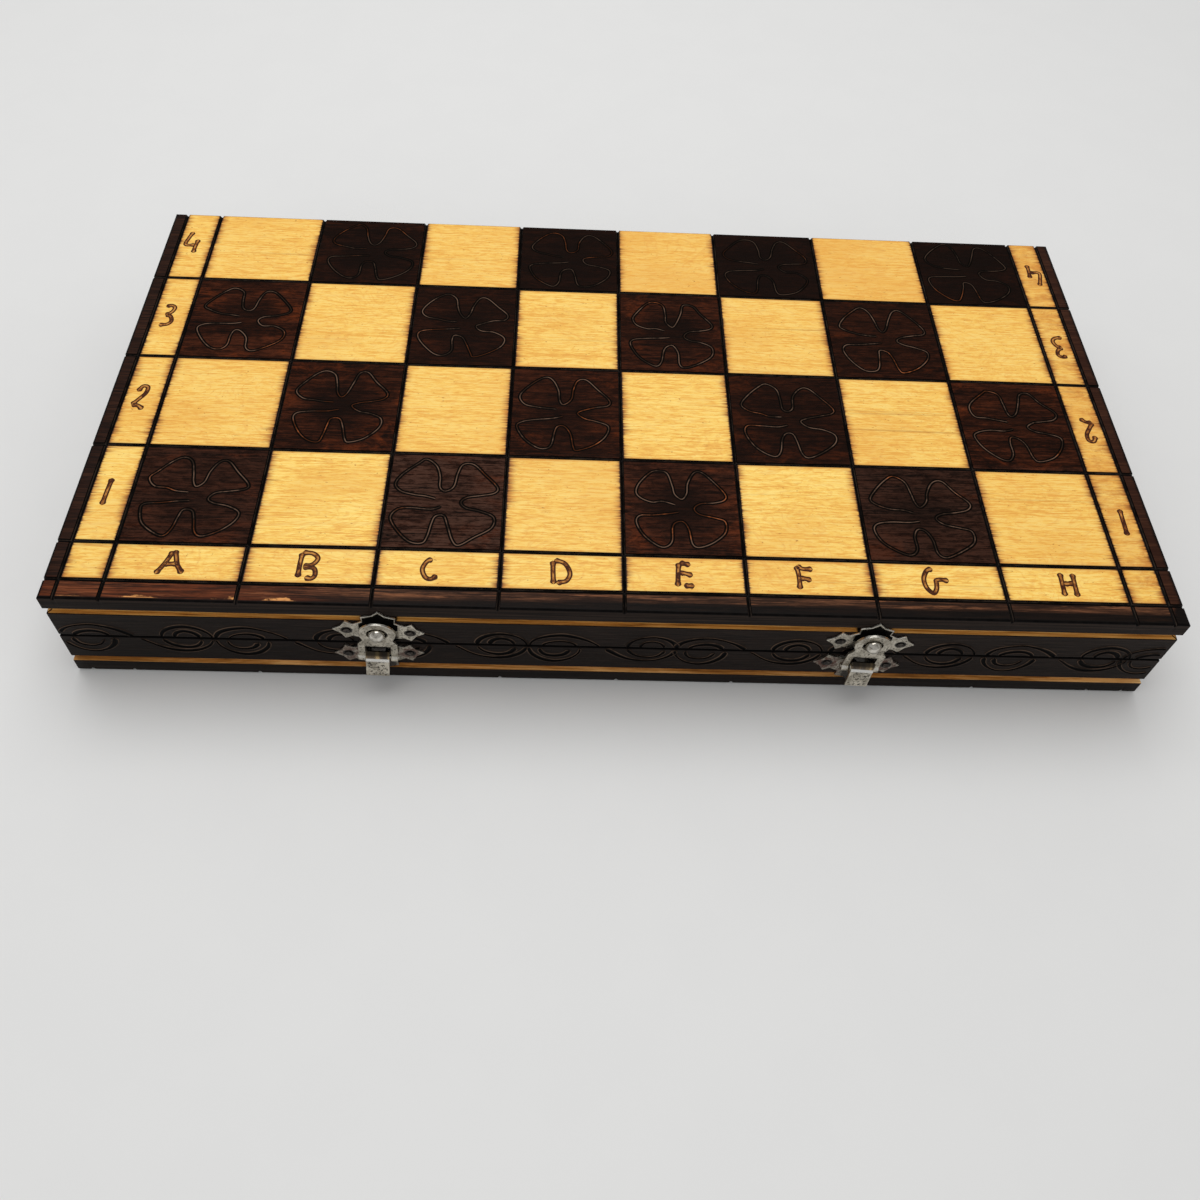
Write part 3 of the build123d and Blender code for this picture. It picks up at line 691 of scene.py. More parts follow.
# One line round the four leaves, open at the left; millimetres from the middle of its square
cloverPoints = (
    (-2.8, 1.4), (-7, 2.1), (-11, 2.7), (-15.6, 4.3), (-17.8, 7.2), (-15.6, 11.6), (-11, 16.4), (-7.2, 18),
    (-4, 15.8), (-2.6, 10.8), (-1.9, 6.2), (0.2, 4.2), (2.5, 6.4), (3.8, 11.6), (6, 16.2), (9.6, 16.6), (14, 11.8),
    (18.2, 6.4), (17.4, 3.4), (12.4, 2.2), (7.6, 1.4), (5.2, -0.8), (7.6, -3.2), (12.8, -4.2), (17.2, -7),
    (16.4, -11.4), (11.4, -16), (5.6, -18.4), (3.2, -16.6), (2.2, -10.6), (0.2, -6.9), (-2.6, -6.6), (-3.9, -9.6),
    (-4.8, -15.2), (-7, -18.1), (-10.8, -17), (-15.6, -12.6), (-18.2, -7), (-16.8, -4.1), (-11.6, -3.4), (-5, -3),
    (-0.8, -2.3),
)
clover = {"shake": 0.5, "turn": 1.6, "seed": 4, "stretch": (0.94, 1.05), "stray": 0.3}


def makeClovers(half, body, upper):
    draw = np.random.default_rng(clover["seed"] + upper)
    rows = [*linesY[1:], halfDepth]
    shells = []
    for row in range(4):
        for file in range(8):
            if (file + 1 + (row + 1 if upper else 8 - row)) % 2:
                continue
            x = (linesX[file + 1] + linesX[file + 2]) / 2 + draw.normal(0, clover["shake"])
            y = (rows[row] + rows[row + 1]) / 2 + draw.normal(0, clover["shake"])
            figure = np.array(cloverPoints) * draw.uniform(*clover["stretch"], 2)
            figure = (figure + draw.normal(0, clover["stray"], figure.shape)) * (1, 1 if upper else -1)
            path = smoothPath(placed(figure, x, y, draw.normal(0, clover["turn"])), pen["clover"]["spacing"])
            shells.append(onBoard(pressedLine(path, pen["clover"]), upper))
    linePiece(half + "_clovers", *joined(shells), cloverLine, body)


for half in halves:
    makeClovers(*half)

# Strokes of each hand-burnt sign, x and y in turn, millimetres from its middle
signs = {
    "A": [
        [-4.5, -5, -2.2, -0.6, -0.3, 4.6], [0.2, 5, 1.2, 2, 2.2, -1, 3.2, -2.5, 4.6, -4.6], [-2.6, -0.9, 2.4, -0.6],
    ],
    "B": [
        [-2.7, 5.3, -2.9, 0, -2.8, -5],
        [-2.7, 5.3, 1, 5, 3, 3, 1.5, 0.5, -1.7, -0.4],
        [-1.7, -0.7, 2, -1, 3, -3.5, 2, -5.2, -0.5, -4.9],
    ],
    "C": [[0.7, 3.9, -1.3, 2.9, -2.6, -0.3, -1.3, -3.5, 0.7, -4.2, 2.8, -2.7]],
    "D": [[-3, 4.6, -2.9, 0, -2.6, -5.1], [-2.6, 4.9, 1.2, 3.5, 3.1, -0.5, 2, -3.5, 0, -4.2, -1.6, -4.6]],
    "E": [
        [-2.2, 5.1, -2.6, 0.4, -2.9, -4.8],
        [-2, 5.2, 2, 4.2],
        [-2.2, 0.2, -0.8, 0.8, 2.6, -0.2],
        [-0.8, -4.4, 3, -4.4],
    ],
    "F": [[-2.5, 5.1, -2, 0.5, -2.2, -4.7], [-2.4, 5.3, -0.5, 3.9, 3.3, 3.8], [-1.9, -0.1, 0.5, -0.3, 2.3, -1.1]],
    "G": [[-0.5, 5.3, -2.8, 4.3, -4.4, 0.9, -4, -2.7, -2, -4.9, -0.6, -3.3, -0.1, -1, 0, 0.4, 2, 0.8, 4.6, 0.2]],
    "H": [[-2, 5, -2.5, -4.8], [2.5, 4.8, 2, -5], [-1.8, 0.3, 2.1, 0.6]],
    "1": [[0.3, 6.1, 0, 0, -0.2, -6]],
    "2": [[-1.3, 3.3, 0, 6.1, 2, 5.7, 1.9, 2.6, 0, -0.6, -2, -3.6], [-2, -3.6, 0.5, -3.9, 2.7, -5.7]],
    "3": [[-1.7, 4.9, 0.3, 5.8, 2, 4.5, 1.3, 1.9, -1, 0.1], [-0.8, 0.3, 1.3, -0.6, 2.3, -3.2, 1, -5.2, -2.3, -5.8]],
    "4": [[-1, 7.1, -2.2, 3, -2.7, -1.3, 1.4, -1.4], [2.2, 2.3, 1.7, -3, 1.8, -6.5]],
    "5": [[2.4, 5.8, -1.6, 5.6, -1.9, 1.2], [-1.9, 1.2, 0.8, 1.6, 2.4, -0.8, 1.8, -4, -0.4, -5.6, -2.4, -4.8]],
    "6": [[1.8, 5.6, -1, 3, -2.4, -1, -2, -4.4, 0.2, -5.8, 2.2, -4.2, 2.2, -1.6, 0.2, -0.4, -1.9, -1.8]],
    "7": [[-2.4, 5.4, 2.4, 5.6], [2.4, 5.6, 0.8, 1, -0.6, -5.8]],
    "8": [
        [
            0.2, 0.4, -2, 2.6, -1.4, 5.2, 0.4, 5.8, 2, 4.8, 1.8, 2.4, 0, 0.2,
            -2.2, -2.4, -1.6, -5, 0.3, -5.8, 2.3, -4.6, 2.2, -2, 0.4, 0.4,
        ],
    ],
}
# Where each sign stands: letters along the front, numbers up both sides, the right-hand ones a little lower
signRows = {
    "letters": {"A": -158.2, "B": -111, "C": -68.5, "D": -22.3, "E": 21.8, "F": 64.5, "G": 112, "H": 160.2},
    "letterRow": -84.6, "numberRows": (-55.2, -10.0, 35.6, 80.8), "left": -188.4, "right": 188.9, "rightDrop": 1.2,
    "strokeLift": 0.006,
}


def makeSigns(half, body, upper):
    spots = [(letter, x, signRows["letterRow"], 0) for letter, x in signRows["letters"].items()]
    for i, y in enumerate(signRows["numberRows"]):
        number = str(i + 1) if upper else str(8 - i)
        spots.append((number, signRows["left"], y, 0 if upper else 180))
        spots.append((number, signRows["right"], y - signRows["rightDrop"], 180 if upper else 0))
    shells = []
    for sign, x, y, turn in spots:
        for i, stroke in enumerate(signs[sign]):
            figure = np.reshape(stroke, (-1, 2)) * (1.0 if upper else -1.0, 1.0)
            path = smoothPath(placed(figure, x, y, turn), pen["letter"]["spacing"])
            shells.append(onBoard(pressedLine(path, pen["letter"], signRows["strokeLift"] * i), upper))
    linePiece(half + "_signs", *joined(shells), letterLine, body)


for half in halves:
    makeSigns(*half)
print("clovers and signs made")

# One scroll, millimetres from its middle and from the seam: out of the left curl, over, down and into the right one
scrollPoints = (
    (-12.3, -2.4), (-14.1, -5.2), (-17.5, -6.5), (-21.2, -5.5), (-22.9, -2.6), (-22.4, 0.5), (-19.6, 3.1),
    (-15.4, 4.1), (-11.8, 3.1), (-9.5, 0.7), (-8.5, -1.6), (-9.5, -5.2), (-12.8, -8.8), (-17.5, -10.4),
    (-22.2, -9), (-25.8, -5.2), (-26.9, -0.5), (-25.3, 4.2), (-21.2, 7), (-15.4, 8.3), (-10.8, 7.3), (-5.6, 4.7),
    (-1.4, 1), (2, -1.9), (6.1, -5.6), (10.2, -7.9), (15.4, -8.8), (20.6, -7.6), (24.8, -4.2), (26.5, 0.5),
    (25.3, 4.2), (22.2, 7), (17.5, 8.3), (12.8, 7), (9.7, 4.2), (8.7, 0.5), (10, -3.1), (12.8, -5.4), (16.5, -6.2),
    (19.8, -5.2), (21.9, -2.4), (22.1, 1), (20.4, 4), (17.3, 5.2), (14.6, 4), (13.4, 1.8), (13.6, -0.3),
)
scrolls = {
    "front": (-172.1, -117.7, -60.3, -6.1, 46.8, 103.0, 160.9, 212.0), "side": (-81.0, -27.0, 27.0, 81.0),
    "gap": 0.8, "cornerGap": 1.6, "barrelSide": 2.2, "barrelReach": 5.2,
}


# A long path cut into the stretches where a test holds
def stretches(path, keep):
    edges = np.flatnonzero(np.diff(keep.astype(int))) + 1
    return [part for part, kept in zip(np.split(path, edges), np.split(keep, edges)) if kept[0] and len(part) > 4]


# True where a scroll of the back passes clear of both hinge barrels
def offBarrels(path):
    clear = np.ones(len(path), bool)
    for side in sides:
        low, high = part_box(side + "_hinge_lower_leaf")
        beside = np.abs(path[:, 0] + (low.x + high.x) / 2 / mm) > (high.x - low.x) / 2 / mm + scrolls["barrelSide"]
        clear &= beside | (np.abs(path[:, 1]) > scrolls["barrelReach"])
    return clear


def makeScrolls(face, half, body, upper):
    lengthwise = face in ("front", "back")
    reach = halfLength if lengthwise else halfDepth
    shells = []
    for centre in scrolls["front" if lengthwise else "side"]:
        path = smoothPath(np.array(scrollPoints) + (centre, 0), pen["scroll"]["spacing"])
        keep = path[:, 1] > scrolls["gap"] if upper else path[:, 1] < -scrolls["gap"]
        if face == "back":
            keep &= offBarrels(path)
        keep &= np.abs(path[:, 0]) < reach - scrolls["cornerGap"]
        shells += [pressedLine(part, pen["scroll"]) for part in stretches(path, keep)]
    points, faces, across = joined(shells)
    u, v, out = points[:, 0], points[:, 1] + seamZ, points[:, 2]
    out = out + (halfDepth if lengthwise else endX)
    spot = {"front": (u, -out, v), "back": (-u, out, v), "left": (-out, -u, v), "right": (out, u, v)}[face]
    name = half + "_" + face + "_scrolls"
    linePiece(name, np.stack(spot, -1) * mm, faces, across, scrollLine, body, "rail_wood")


for face in ("front", "back", "left", "right"):
    for half in halves:
        makeScrolls(face, *half)
print("scrolls made")

# Latches and finishes

latch = {
    "places": {"left": -86.1, "right": 89.4}, "lean": {"left": 3.0, "right": 5.0},
    "strike": {"rise": 9.0, "tilt": {"left": 3.6, "right": 3.8}, "shift": {"left": 0.0, "right": 0.0}},
    "base": {"rise": -6.4, "tilt": {"left": -2.2, "right": 2.4}, "shift": {"left": -1.0, "right": -1.8}},
    "nailReach": 11.1, "hole": (1.95, 2.3), "ballRise": 11.6, "plateEdge": 0.22, "linkEdge": 0.44, "leverEdge": 0.16,
    "halfWidth": 4.15, "sheet": 0.7, "pivot": (3.4, 1.3), "nose": 2.0, "fold": 2.9, "field": (0.02, 0.84),
}


# Middles of the four nails of one kind of plate, across and up
def nailSpots(kind):
    plate, spots = latch[kind], []
    for side, place in latch["places"].items():
        angle = math.radians(plate["tilt"][side])
        for reach in (-latch["nailReach"], latch["nailReach"]):
            across = place + plate["shift"][side] + reach * math.cos(angle)
            spots.append((across, seamZ + plate["rise"] - reach * math.sin(angle)))
    return spots


# Dark rings round the nails; the base plates also have rust round the holes, and painted shade behind the levers
def plateRustAndShade(colour, kind):
    x, z = axes()[::2]
    flat = addNode("ShaderNodeCombineXYZ", {0: x, 2: z})
    nearest = smallest(*(
        addNode("ShaderNodeVectorMath", {0: flat, 1: (across, 0, up)}, output=1, operation="DISTANCE")
        for across, up in nailSpots(kind)
    ))
    washes = [(ease(nearest, *latch["hole"], 0.95, 0.0), "hole")]
    if kind == "base":
        rust = ease(grain(420, 3.0, 0.65), 0.4, 0.56, 0.1, 0.9) * ease(nearest, 5.2, 2.6) * ease(x, -20, 20, 0.7, 1.0)
        # painted shade on the base plate behind each lever
        behind = smallest(*(abs(x - (place - 0.8)) for place in latch["places"].values()))
        washes = [(rust, "rust"), *washes, (ease(behind, 4.4, 6.4, 0.9, 0.0), "behind")]
    return washed(colour, *washes)


# Nickel plate with darker dull pits and clouds of brown tarnish, how much of each given from 0 to 1, and a painted
# highlight on edges that face up. On the levers the tag pastFold is millimetres below the fold: polished above it and
# painted there with streaks of reflection, darker towards its top, a painted highlight line on it, pits on the tab
# within its rim
def nickelRecipe(pitted, tarnish, isLever=False, kind=None):
    pits, cloud = grain(1250, 3.0, 0.6), grain(240, 4.0, 0.65)
    metal = mix(ease(cloud, 0.35, 0.65), "nickel", "nickelPale")
    faceUp = addNode("ShaderNodeSeparateXYZ", {0: addNode("ShaderNodeTexCoord", output=1)}, output=2)
    # painted highlight: edges that face up are painted lighter
    rubbed = ease(faceUp, 0.25, 0.75, 0.0, 0.85 - 0.5 * tarnish)
    speck = ease(pits, 0.36 + 0.13 * pitted, 0.28 + 0.13 * pitted, 0.0, 0.55 + 0.35 * pitted)
    brown = ease(cloud, 0.66 - 0.26 * tarnish, 0.8 - 0.26 * tarnish, 0.0, 0.1 + 0.75 * tarnish)
    rough = ease(pits, 0.35, 0.65, 0.42, 0.26)
    if isLever:
        past, side = tag("pastFold"), abs(tag("fromMiddle"))
        speck = speck * ease(past, 0.6, 0.9) * ease(side, 3.7, 3.4) * ease(past, 8.4, 8.0)
        # painted reflection: golden and dark streaks on the polished nose
        nose = ramp(grain((420, 3, 3), 2.0, 0.5, 0.0, (2, 1, 5)), noseReflectionTones)
        nose = mix(ease(past, -1.3, -2.6, 0.0, 0.85), nose, "noseTop")
        # painted highlight along the fold line
        paintedFoldHighlight = ease(abs(past - 0.05), 0.75, 0.45)
        metal = washed(metal, (ease(past, -0.1, -0.4, 0.0, 0.95), nose), (paintedFoldHighlight, "foldWhite"))
        rubbed = rubbed * ease(past, -0.2, 0.4)
        polished = ease(past, 0.8, 0.5)
        rough = rough * (1.0 - polished) + polished * 0.22
    colour = washed(metal, (speck, "pit"), (brown, "tarnish"), (rubbed, "rubbed"))
    if kind:
        colour = plateRustAndShade(colour, kind)
    return surface(colour, rough, bump(pits, 0.2 + 0.5 * pitted, 0.00012), metallic=1.0)


def brightNickelRecipe():
    cloud = grain(500)
    colour = mix(ease(cloud, 0.4, 0.6), "ball", "ballPale")
    return surface(colour, ease(cloud, 0.4, 0.7, 0.05, 0.15), bump(cloud, 0.06, 0.0002), metallic=1.0)


def brassRecipe():
    cloud = grain(300, 4.0, 0.6)
    rough = ease(cloud, 0.4, 0.6, 0.4, 0.24)
    return surface(ramp(cloud, brassTones), rough, bump(cloud, 0.2, 0.0002), metallic=1.0)


def nailRecipe():
    cloud = grain(900)
    return surface(ramp(cloud, nailTones), 0.42, bump(cloud, 0.4, 0.0003), metallic=1.0)


# Near-black field in the sunk middle of each crown
def fieldRecipe():
    cloud = grain(700)
    return surface(mix(ease(cloud, 0.4, 0.65), "field", "fieldPale"), 0.6, bump(cloud, 0.3, 0.0002), 0.02)


plateNickel = newMaterial("plate nickel", nickelRecipe, 0.8, 0.2, kind="strike")
linkNickel = newMaterial("link nickel", nickelRecipe, 0.7, 0.1)
castNickel = newMaterial("pitted nickel", nickelRecipe, 1.0, 0.1, isLever=True)
rustyNickel = newMaterial("tarnished nickel", nickelRecipe, 0.9, 0.8, kind="base")
brightNickel = newMaterial("polished ball nickel", brightNickelRecipe)
brass = newMaterial("hinge brass", brassRecipe)
nailSteel = newMaterial("nail steel", nailRecipe)
crownBlack = newMaterial("crown field", fieldRecipe)

# Materials of the CAD nodes that stay
finishes = {"upper_latch_nails": nailSteel, "lower_latch_nails": nailSteel}
for side in ("left_", "right_"):
    finishes.update({side + "hinge_" + part: brass for part in ("lower_leaf", "upper_leaf", "pin")})
    finishes.update({side + "latch_link_rivets": linkNickel, side + "latch_lever_pin": rustyNickel})
for name, material in finishes.items():
    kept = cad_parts[name].data.materials
    kept.clear()
    kept.append(material)
print("finishes set")

# Rails and latch sheets: the CAD shapes with their cut edges rounded over

rails = {"edge": 0.3}


def roundEdges(piece, edge):
    rounding = piece.modifiers.new("rounded edges", "BEVEL")
    rounding.width, rounding.segments, rounding.limit_method = edge * mm, 3, "ANGLE"
    rounding.angle_limit, rounding.harden_normals = math.radians(40), True


# A copy of a CAD node, its triangles merged into flat faces, with a narrow round along every cut edge
def roundedCopy(name, newName, body, edge, material):
    work = bmesh.new()
    work.from_mesh(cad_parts[name].data)
    bmesh.ops.remove_doubles(work, verts=work.verts, dist=1e-6)
    bmesh.ops.dissolve_limit(work, angle_limit=math.radians(0.6), verts=work.verts, edges=work.edges)
    mesh = bpy.data.meshes.new(newName)
    for corner in work.verts:
        corner.co.x = min(max(corner.co.x, -endX * mm), endX * mm)
    work.to_mesh(mesh)
    work.free()
    mesh.materials.append(material)
    roundEdges(dressed(newName, mesh, body, [name], 32), edge)


for half, body, _ in halves:
    for side, railWood in (("front", railWoodX), ("back", railWoodX), ("left", railWoodY), ("right", railWoodY)):
        rail = half + "_" + side + "_rail"
        roundedCopy(rail, rail + "_wood", body, rails["edge"], railWood)
print("rails rounded")


# Places on the front: across and up from a point above the seam at a latch, turned about that point, and out
def atLatch(side, rise, degrees, across, out, up):
    c, s = math.cos(math.radians(degrees)), math.sin(math.radians(degrees))
    x = latch["places"][side] + across * c + up * s
    z = seamZ + rise - across * s + up * c
    return np.stack([x, 0 * x - halfDepth - out, z], -1) * mm


# A closed outline of (out, down) carried straight across between two places
def prism(outline, start, end):
    m = len(outline)
    across = np.repeat([start, end], m)
    return np.column_stack([across, np.vstack([outline, outline])]), prismFaces(m), across


# The lever, swung about the ball: a nose curled round the pivot, a raised fold line, the tab, and two cheeks behind
def makeLever(side):
    o, d = latch["pivot"]
    half, sheet = latch["halfWidth"], latch["sheet"]
    turn = np.radians(np.linspace(68, -8, 12))
    outer = [(o + latch["nose"] * math.cos(a), d - latch["nose"] * math.sin(a)) for a in turn]
    outer += [(5.38, 2.2), (5.6, 2.52), (6.0, 2.68), (6.12, 2.95), (6.02, 3.35), (5.95, 3.8), (6.1, 4.9)]
    outer = smoothPath([*outer, (6.6, 7.9), (7.15, 11.5)], 0.22)
    inner = outer + leftOf(outer) * sheet
    cheek = [(2.81, -0.1), (3.99, -0.1), (5.1, 1.3), (5.3, 2.9), (5.7, 5.5), (3.49, 6.5)]
    cheek += [(2.31, 6.5), (1.5, 5.69), (1.5, 4.51), (2.0, 1.89), (2.0, 0.71)]
    shells = [prism(np.vstack([outer, inner[::-1]]), -half, half)]
    shells += [prism(cheek, start, start + sheet) for start in (-half, half - sheet)]
    points, faces, across = joined(shells)
    tags = {"pastFold": points[:, 2] - latch["fold"], "fromMiddle": across}
    rise, (u, out, down) = latch["ballRise"], points.T
    spot = atLatch(side, rise, latch["lean"][side], u, out, -down - rise)
    replaced = [side + "_latch_lever"]
    piece = makePiece(side + "_lever", spot, faces, [castNickel], side + "_lever", replaced, tags)
    roundEdges(piece, latch["leverEdge"])


# Black sheet sunk behind the rim of the crown
def makeCrownField(side):
    right = [(6.8, 1.0), (6.8, 4.75), (5.35, 5.8), (5.5, 8.6), (2.25, 9.6), (0, 12.1)]
    u, v = np.array(right + [(-u, v) for u, v in reversed(right[:-1])]).T
    rise, tilt = latch["strike"]["rise"], latch["strike"]["tilt"][side]
    sheets = np.vstack([atLatch(side, rise, tilt, u, out, v) for out in latch["field"]])
    makePiece(side + "_crown_field", sheets, prismFaces(len(u)), [crownBlack], "lid")


for side in sides:
    roundedCopy(side + "_latch_strike_plate", side + "_strike_plate", "lid", latch["plateEdge"], plateNickel)
    roundedCopy(side + "_latch_base_plate", side + "_base_plate", "tray", latch["plateEdge"], rustyNickel)
    roundedCopy(side + "_latch_link", side + "_link", side + "_link", latch["linkEdge"], linkNickel)
    makeLever(side)
    makeCrownField(side)
print("latches made")

# Turned pieces


# A profile of radius and height carried round an axis; a wave may lift or draw in each point by its angle
def turnedShell(profile, around=40, wave=None):
    angle = np.linspace(0, 2 * np.pi, around, endpoint=False)
    columns = np.array(profile, float).T
    radius, height = (np.broadcast_to(column[:, None], (len(profile), around)) for column in columns)
    if wave:
        radius, height = wave(radius, height, angle[None])
    points = np.stack([radius * np.cos(angle), radius * np.sin(angle), height], -1)
    return points.reshape(-1, 3), gridFaces(len(points), around, closeColumns=True)


# Smooth stretches of profile joined at crisp corners, from the foot of the axis; each goes on from the one before
def profileOf(*parts, spacing=0.7):
    made, start = [], (0, 0)
    for part in parts:
        part = [start, *part]
        made.append(smoothPath(part, spacing) if len(part) > 2 else np.array(part, float))
        start = part[-1]
    return np.vstack(made)


# The ball studs: cone seat, waist and a ball a little flattened at its crown
def makeStud(side):
    low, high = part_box(side + "_latch_ball_stud")
    centre = (low + high) / 2 / mm
    outward = -low.y / mm - halfDepth
    ball = (high.x - low.x) / 2 / mm
    waist = max(outward - 2 * ball * 0.93, 1.2)
    around = np.linspace(-0.9, np.pi / 2, 16)
    dome = np.stack([ball * np.cos(around), outward - ball * 0.98 + ball * 0.98 * np.sin(around)], -1)
    profile = np.vstack([[(0, -0.8), (2.4, -0.8), (2.4, 0.85), (2.2, 1.1), (2.2, waist)], dome])
    points, faces = turnedShell(profile)
    spot = np.stack([centre.x + points[:, 0], -halfDepth - points[:, 2], centre.z + points[:, 1]], -1)
    replaced = [side + "_latch_ball_stud"]
    makePiece(side + "_ball_stud", spot * mm, faces, [brightNickel], "lid", replaced)


for side in sides:
    makeStud(side)
print("studs made")

# Chessmen, laid head to tail as in the CAD: height, base and head radius as shares of the pitch

men = {
    "pitch": 23.5, "officerRow": -45.0, "pawnRow": 21.0, "floor": 7.25, "knightHead": 6.0,
    "king": (84.0, 0.61, 0.32), "queen": (76.0, 0.57, 0.36), "bishop": (66.0, 0.53, 0.28),
    "knight": (58.0, 0.53, 0.40), "rook": (50.0, 0.53, 0.36), "pawn": (42.0, 0.47, 0.28),
}


# Light or stained beech with a satin varnish; the grain runs along the men, which lie along Y
def menRecipe(stops):
    fine, figure = grain((1300, 40, 1300), 3.0, 0.6), grain((150, 12, 150), 3.0, 0.5, 1.0)
    beech = surface(ramp(fine * 0.5 + figure * 0.5, stops), ease(fine, 0.3, 0.7, 0.28, 0.4), bump(fine, 0.15, 0.0002))
    return {**beech, "Coat Weight": 0.25, "Coat Roughness": 0.2}


lightMan = newMaterial("light chessman", menRecipe, lightManTones)
darkMan = newMaterial("dark chessman", menRecipe, darkManTones)


# Base, stem and collar that all the men share: base radius b, waist w, stem top t, collar radius c
def footAndStem(b, w, t, c):
    return [
        [(b - 0.6, 0)],
        [(b, 0.7), (b, 2.4), (b - 0.7, 3.3)],
        [(b - 1.9, 3.7), (b - 2.2, 4.6)],
        [(0.72 * b, 7.2), (w + 2.0, 11.5), (w + 0.5, 17), (w, 0.5 * t + 8), (w, t - 1.4)],
        [(c - 0.7, t - 0.6), (c, t + 0.5), (c - 0.8, t + 1.5), (w + 0.2, t + 2.1)],
    ]


def kingShell(h, b, n):
    t = 0.62 * h
    profile = profileOf(
        *footAndStem(b, 4.9, t, n + 1), [(4.9, t + 5), (5.6, t + 12), (n, 0.865 * h)],
        [(n + 0.2, 0.88 * h), (n - 0.5, 0.89 * h)], [(4.6, 0.905 * h), (1.6, 0.912 * h), (0, 0.914 * h)],
    )
    left = [(-0.9, 0), (-0.7, 0.42), (-1, 0.5), (-3.5, 0.36), (-3.5, 0.78), (-1, 0.66), (-0.75, 0.74), (-1.4, 1)]
    outline = left + [(-x, up) for x, up in reversed(left)]
    z = 0.9 * h
    cross = np.array([(x, y, z + up * (h - z)) for y in (-1.3, 1.3) for x, up in outline])
    return [turnedShell(profile), (cross, prismFaces(len(outline)))]


def queenShell(h, b, n):
    t = 0.64 * h
    profile = profileOf(
        *footAndStem(b, 4.6, t, n - 0.8), [(4.7, t + 5), (5.6, t + 12), (n - 0.1, 0.93 * h)],
        [(n - 1.2, 0.925 * h)], [(4.6, 0.945 * h), (2.4, 0.955 * h)], [(2.5, 0.975 * h), (1.7, 0.992 * h), (0, h)],
    )

    def crownPoints(radius, height, angle):
        rim = np.exp(-(((height - 0.93 * h) / 2.2) ** 2)) * np.clip((radius - 5.5) / 2, 0, 1)
        return radius, height + 0.9 * rim * np.cos(8 * angle)

    return [turnedShell(profile, 48, crownPoints)]


def bishopShell(h, b, n):
    t = 0.60 * h
    head = [(4.5, t + 4), (6.2, t + 8.5), (6.5, t + 12), (5.0, t + 18), (2.2, 0.955 * h)]
    tip = [(2.1, 0.972 * h), (1.4, 0.992 * h), (0, h)]

    def mitre(radius, height, angle):
        plane = 0.76 * h + 0.9 * radius * np.cos(angle)
        notch = np.exp(-(((height - plane) / 0.55) ** 2)) * (np.cos(angle) > 0.1) * (height > t + 5)
        return radius - 1.3 * notch, height

    return [turnedShell(profileOf(*footAndStem(b, 4.2, t, n), head, tip, spacing=0.45), 56, mitre)]


def rookShell(h, b, n):
    t = 0.66 * h
    walls = [[corner] for corner in ((n, h - 3.2), (n, h), (n - 2.3, h), (n - 2.3, h - 4), (0, h - 4))]
    profile = profileOf(*footAndStem(b, 6.2, t - 3, 7.2), [(6.6, t + 1), (n, t + 3.2)], *walls)

    def battlements(radius, height, angle):
        gap = (np.sin(5 * angle + 0.3) > 0.55) & (height > h - 0.1)
        return radius, height - 2.6 * gap

    return [turnedShell(profile, 60, battlements)]


def pawnShell(h, b, n):
    around = np.linspace(-1.05, np.pi / 2, 22)
    ball = np.stack([n * np.cos(around), h - n + n * np.sin(around)], -1)
    return [turnedShell(np.vstack([profileOf(*footAndStem(b, 3.5, 0.55 * h, 5.6)), ball]))]


# Ellipses carried along a path in the X-Z plane: half width across the path in that plane, half thickness along Y
def sweptBody(path, across, thick, around=24):
    path = smoothPath(np.column_stack([path, across, thick]), 0.8)
    side = leftOf(path[:, :2])
    end = np.linspace(0, 1, len(path))
    cap = np.sqrt(np.clip(1 - (np.clip(np.abs(end - 0.5) - 0.4, 0, 1) / 0.1) ** 2, 0.0, 1))
    angle = np.linspace(0, 2 * np.pi, around, endpoint=False)
    inPlane = (path[:, 2] * cap)[:, None] * np.cos(angle)
    x, z = path[:, :1] + side[:, :1] * inPlane, path[:, 1:2] + side[:, 1:] * inPlane
    y = (path[:, 3] * cap)[:, None] * np.sin(angle)
    return np.stack([x, y, z], -1).reshape(-1, 3), gridFaces(len(path), around, closeColumns=True)


# The knight: collar, neck, head, jaw, two ears, two eyes and a rippled mane
def knightShell(h, b, n):
    collar = profileOf(*footAndStem(b, 6.6, 14.5, 8.4), [(5.5, 17.6), (0, 17.8)])
    neck = [(-0.4, 13), (-1.6, 22), (-2.8, 31), (-2.9, 39), (-1.4, 46), (0.6, 50)]
    head = [(-3.2, 50), (0.2, 47.4), (4, 43), (7, 38.4), (8.6, 35)]
    shells = [
        turnedShell(collar),
        sweptBody(neck, (7, 6.6, 6, 5.2, 4.2, 3.4), (6, 5.8, 5.2, 4.8, 4.2, 3.2)),
        sweptBody(head, (4.2, 5.2, 4.6, 3.4, 2.8), (3.8, 4.6, 3.8, 3.2, 2.8)),
        sweptBody([(6.8, 34), (8.2, 36.4), (9.0, 38.6)], (1.8, 2.2, 1.6), (3.0, 3.2, 2.6)),
    ]
    for y in (-2.3, 2.3):
        points, faces = sweptBody([(-1.6, 49), (-1.3, 53), (-0.9, 57.6)], (2.0, 1.7, 0.5), (1.3, 1.1, 0.4), 12)
        shells.append((points + (0, y, 0), faces))
        points, faces = sweptBody([(2.4, 46.2), (3.4, 45.6), (4.4, 45)], (0.9, 1.0, 0.9), (0.9, 1.0, 0.9), 12)
        shells.append((points + (0, y * 1.8, 0), faces))
    mane = [(-5.2, 20), (-7.4, 27), (-8.2, 34), (-7.2, 41), (-5.2, 47), (-2.6, 51.4)]
    points, faces = sweptBody(mane, (1.7, 2.0, 2.0, 1.9, 1.7, 1.3), (1.6, 1.8, 1.8, 1.7, 1.5, 1.2), 16)
    points[:, 1] *= 1 + 0.16 * np.sin(points[:, 2] * 2.6)
    return [*shells, (points, faces)]


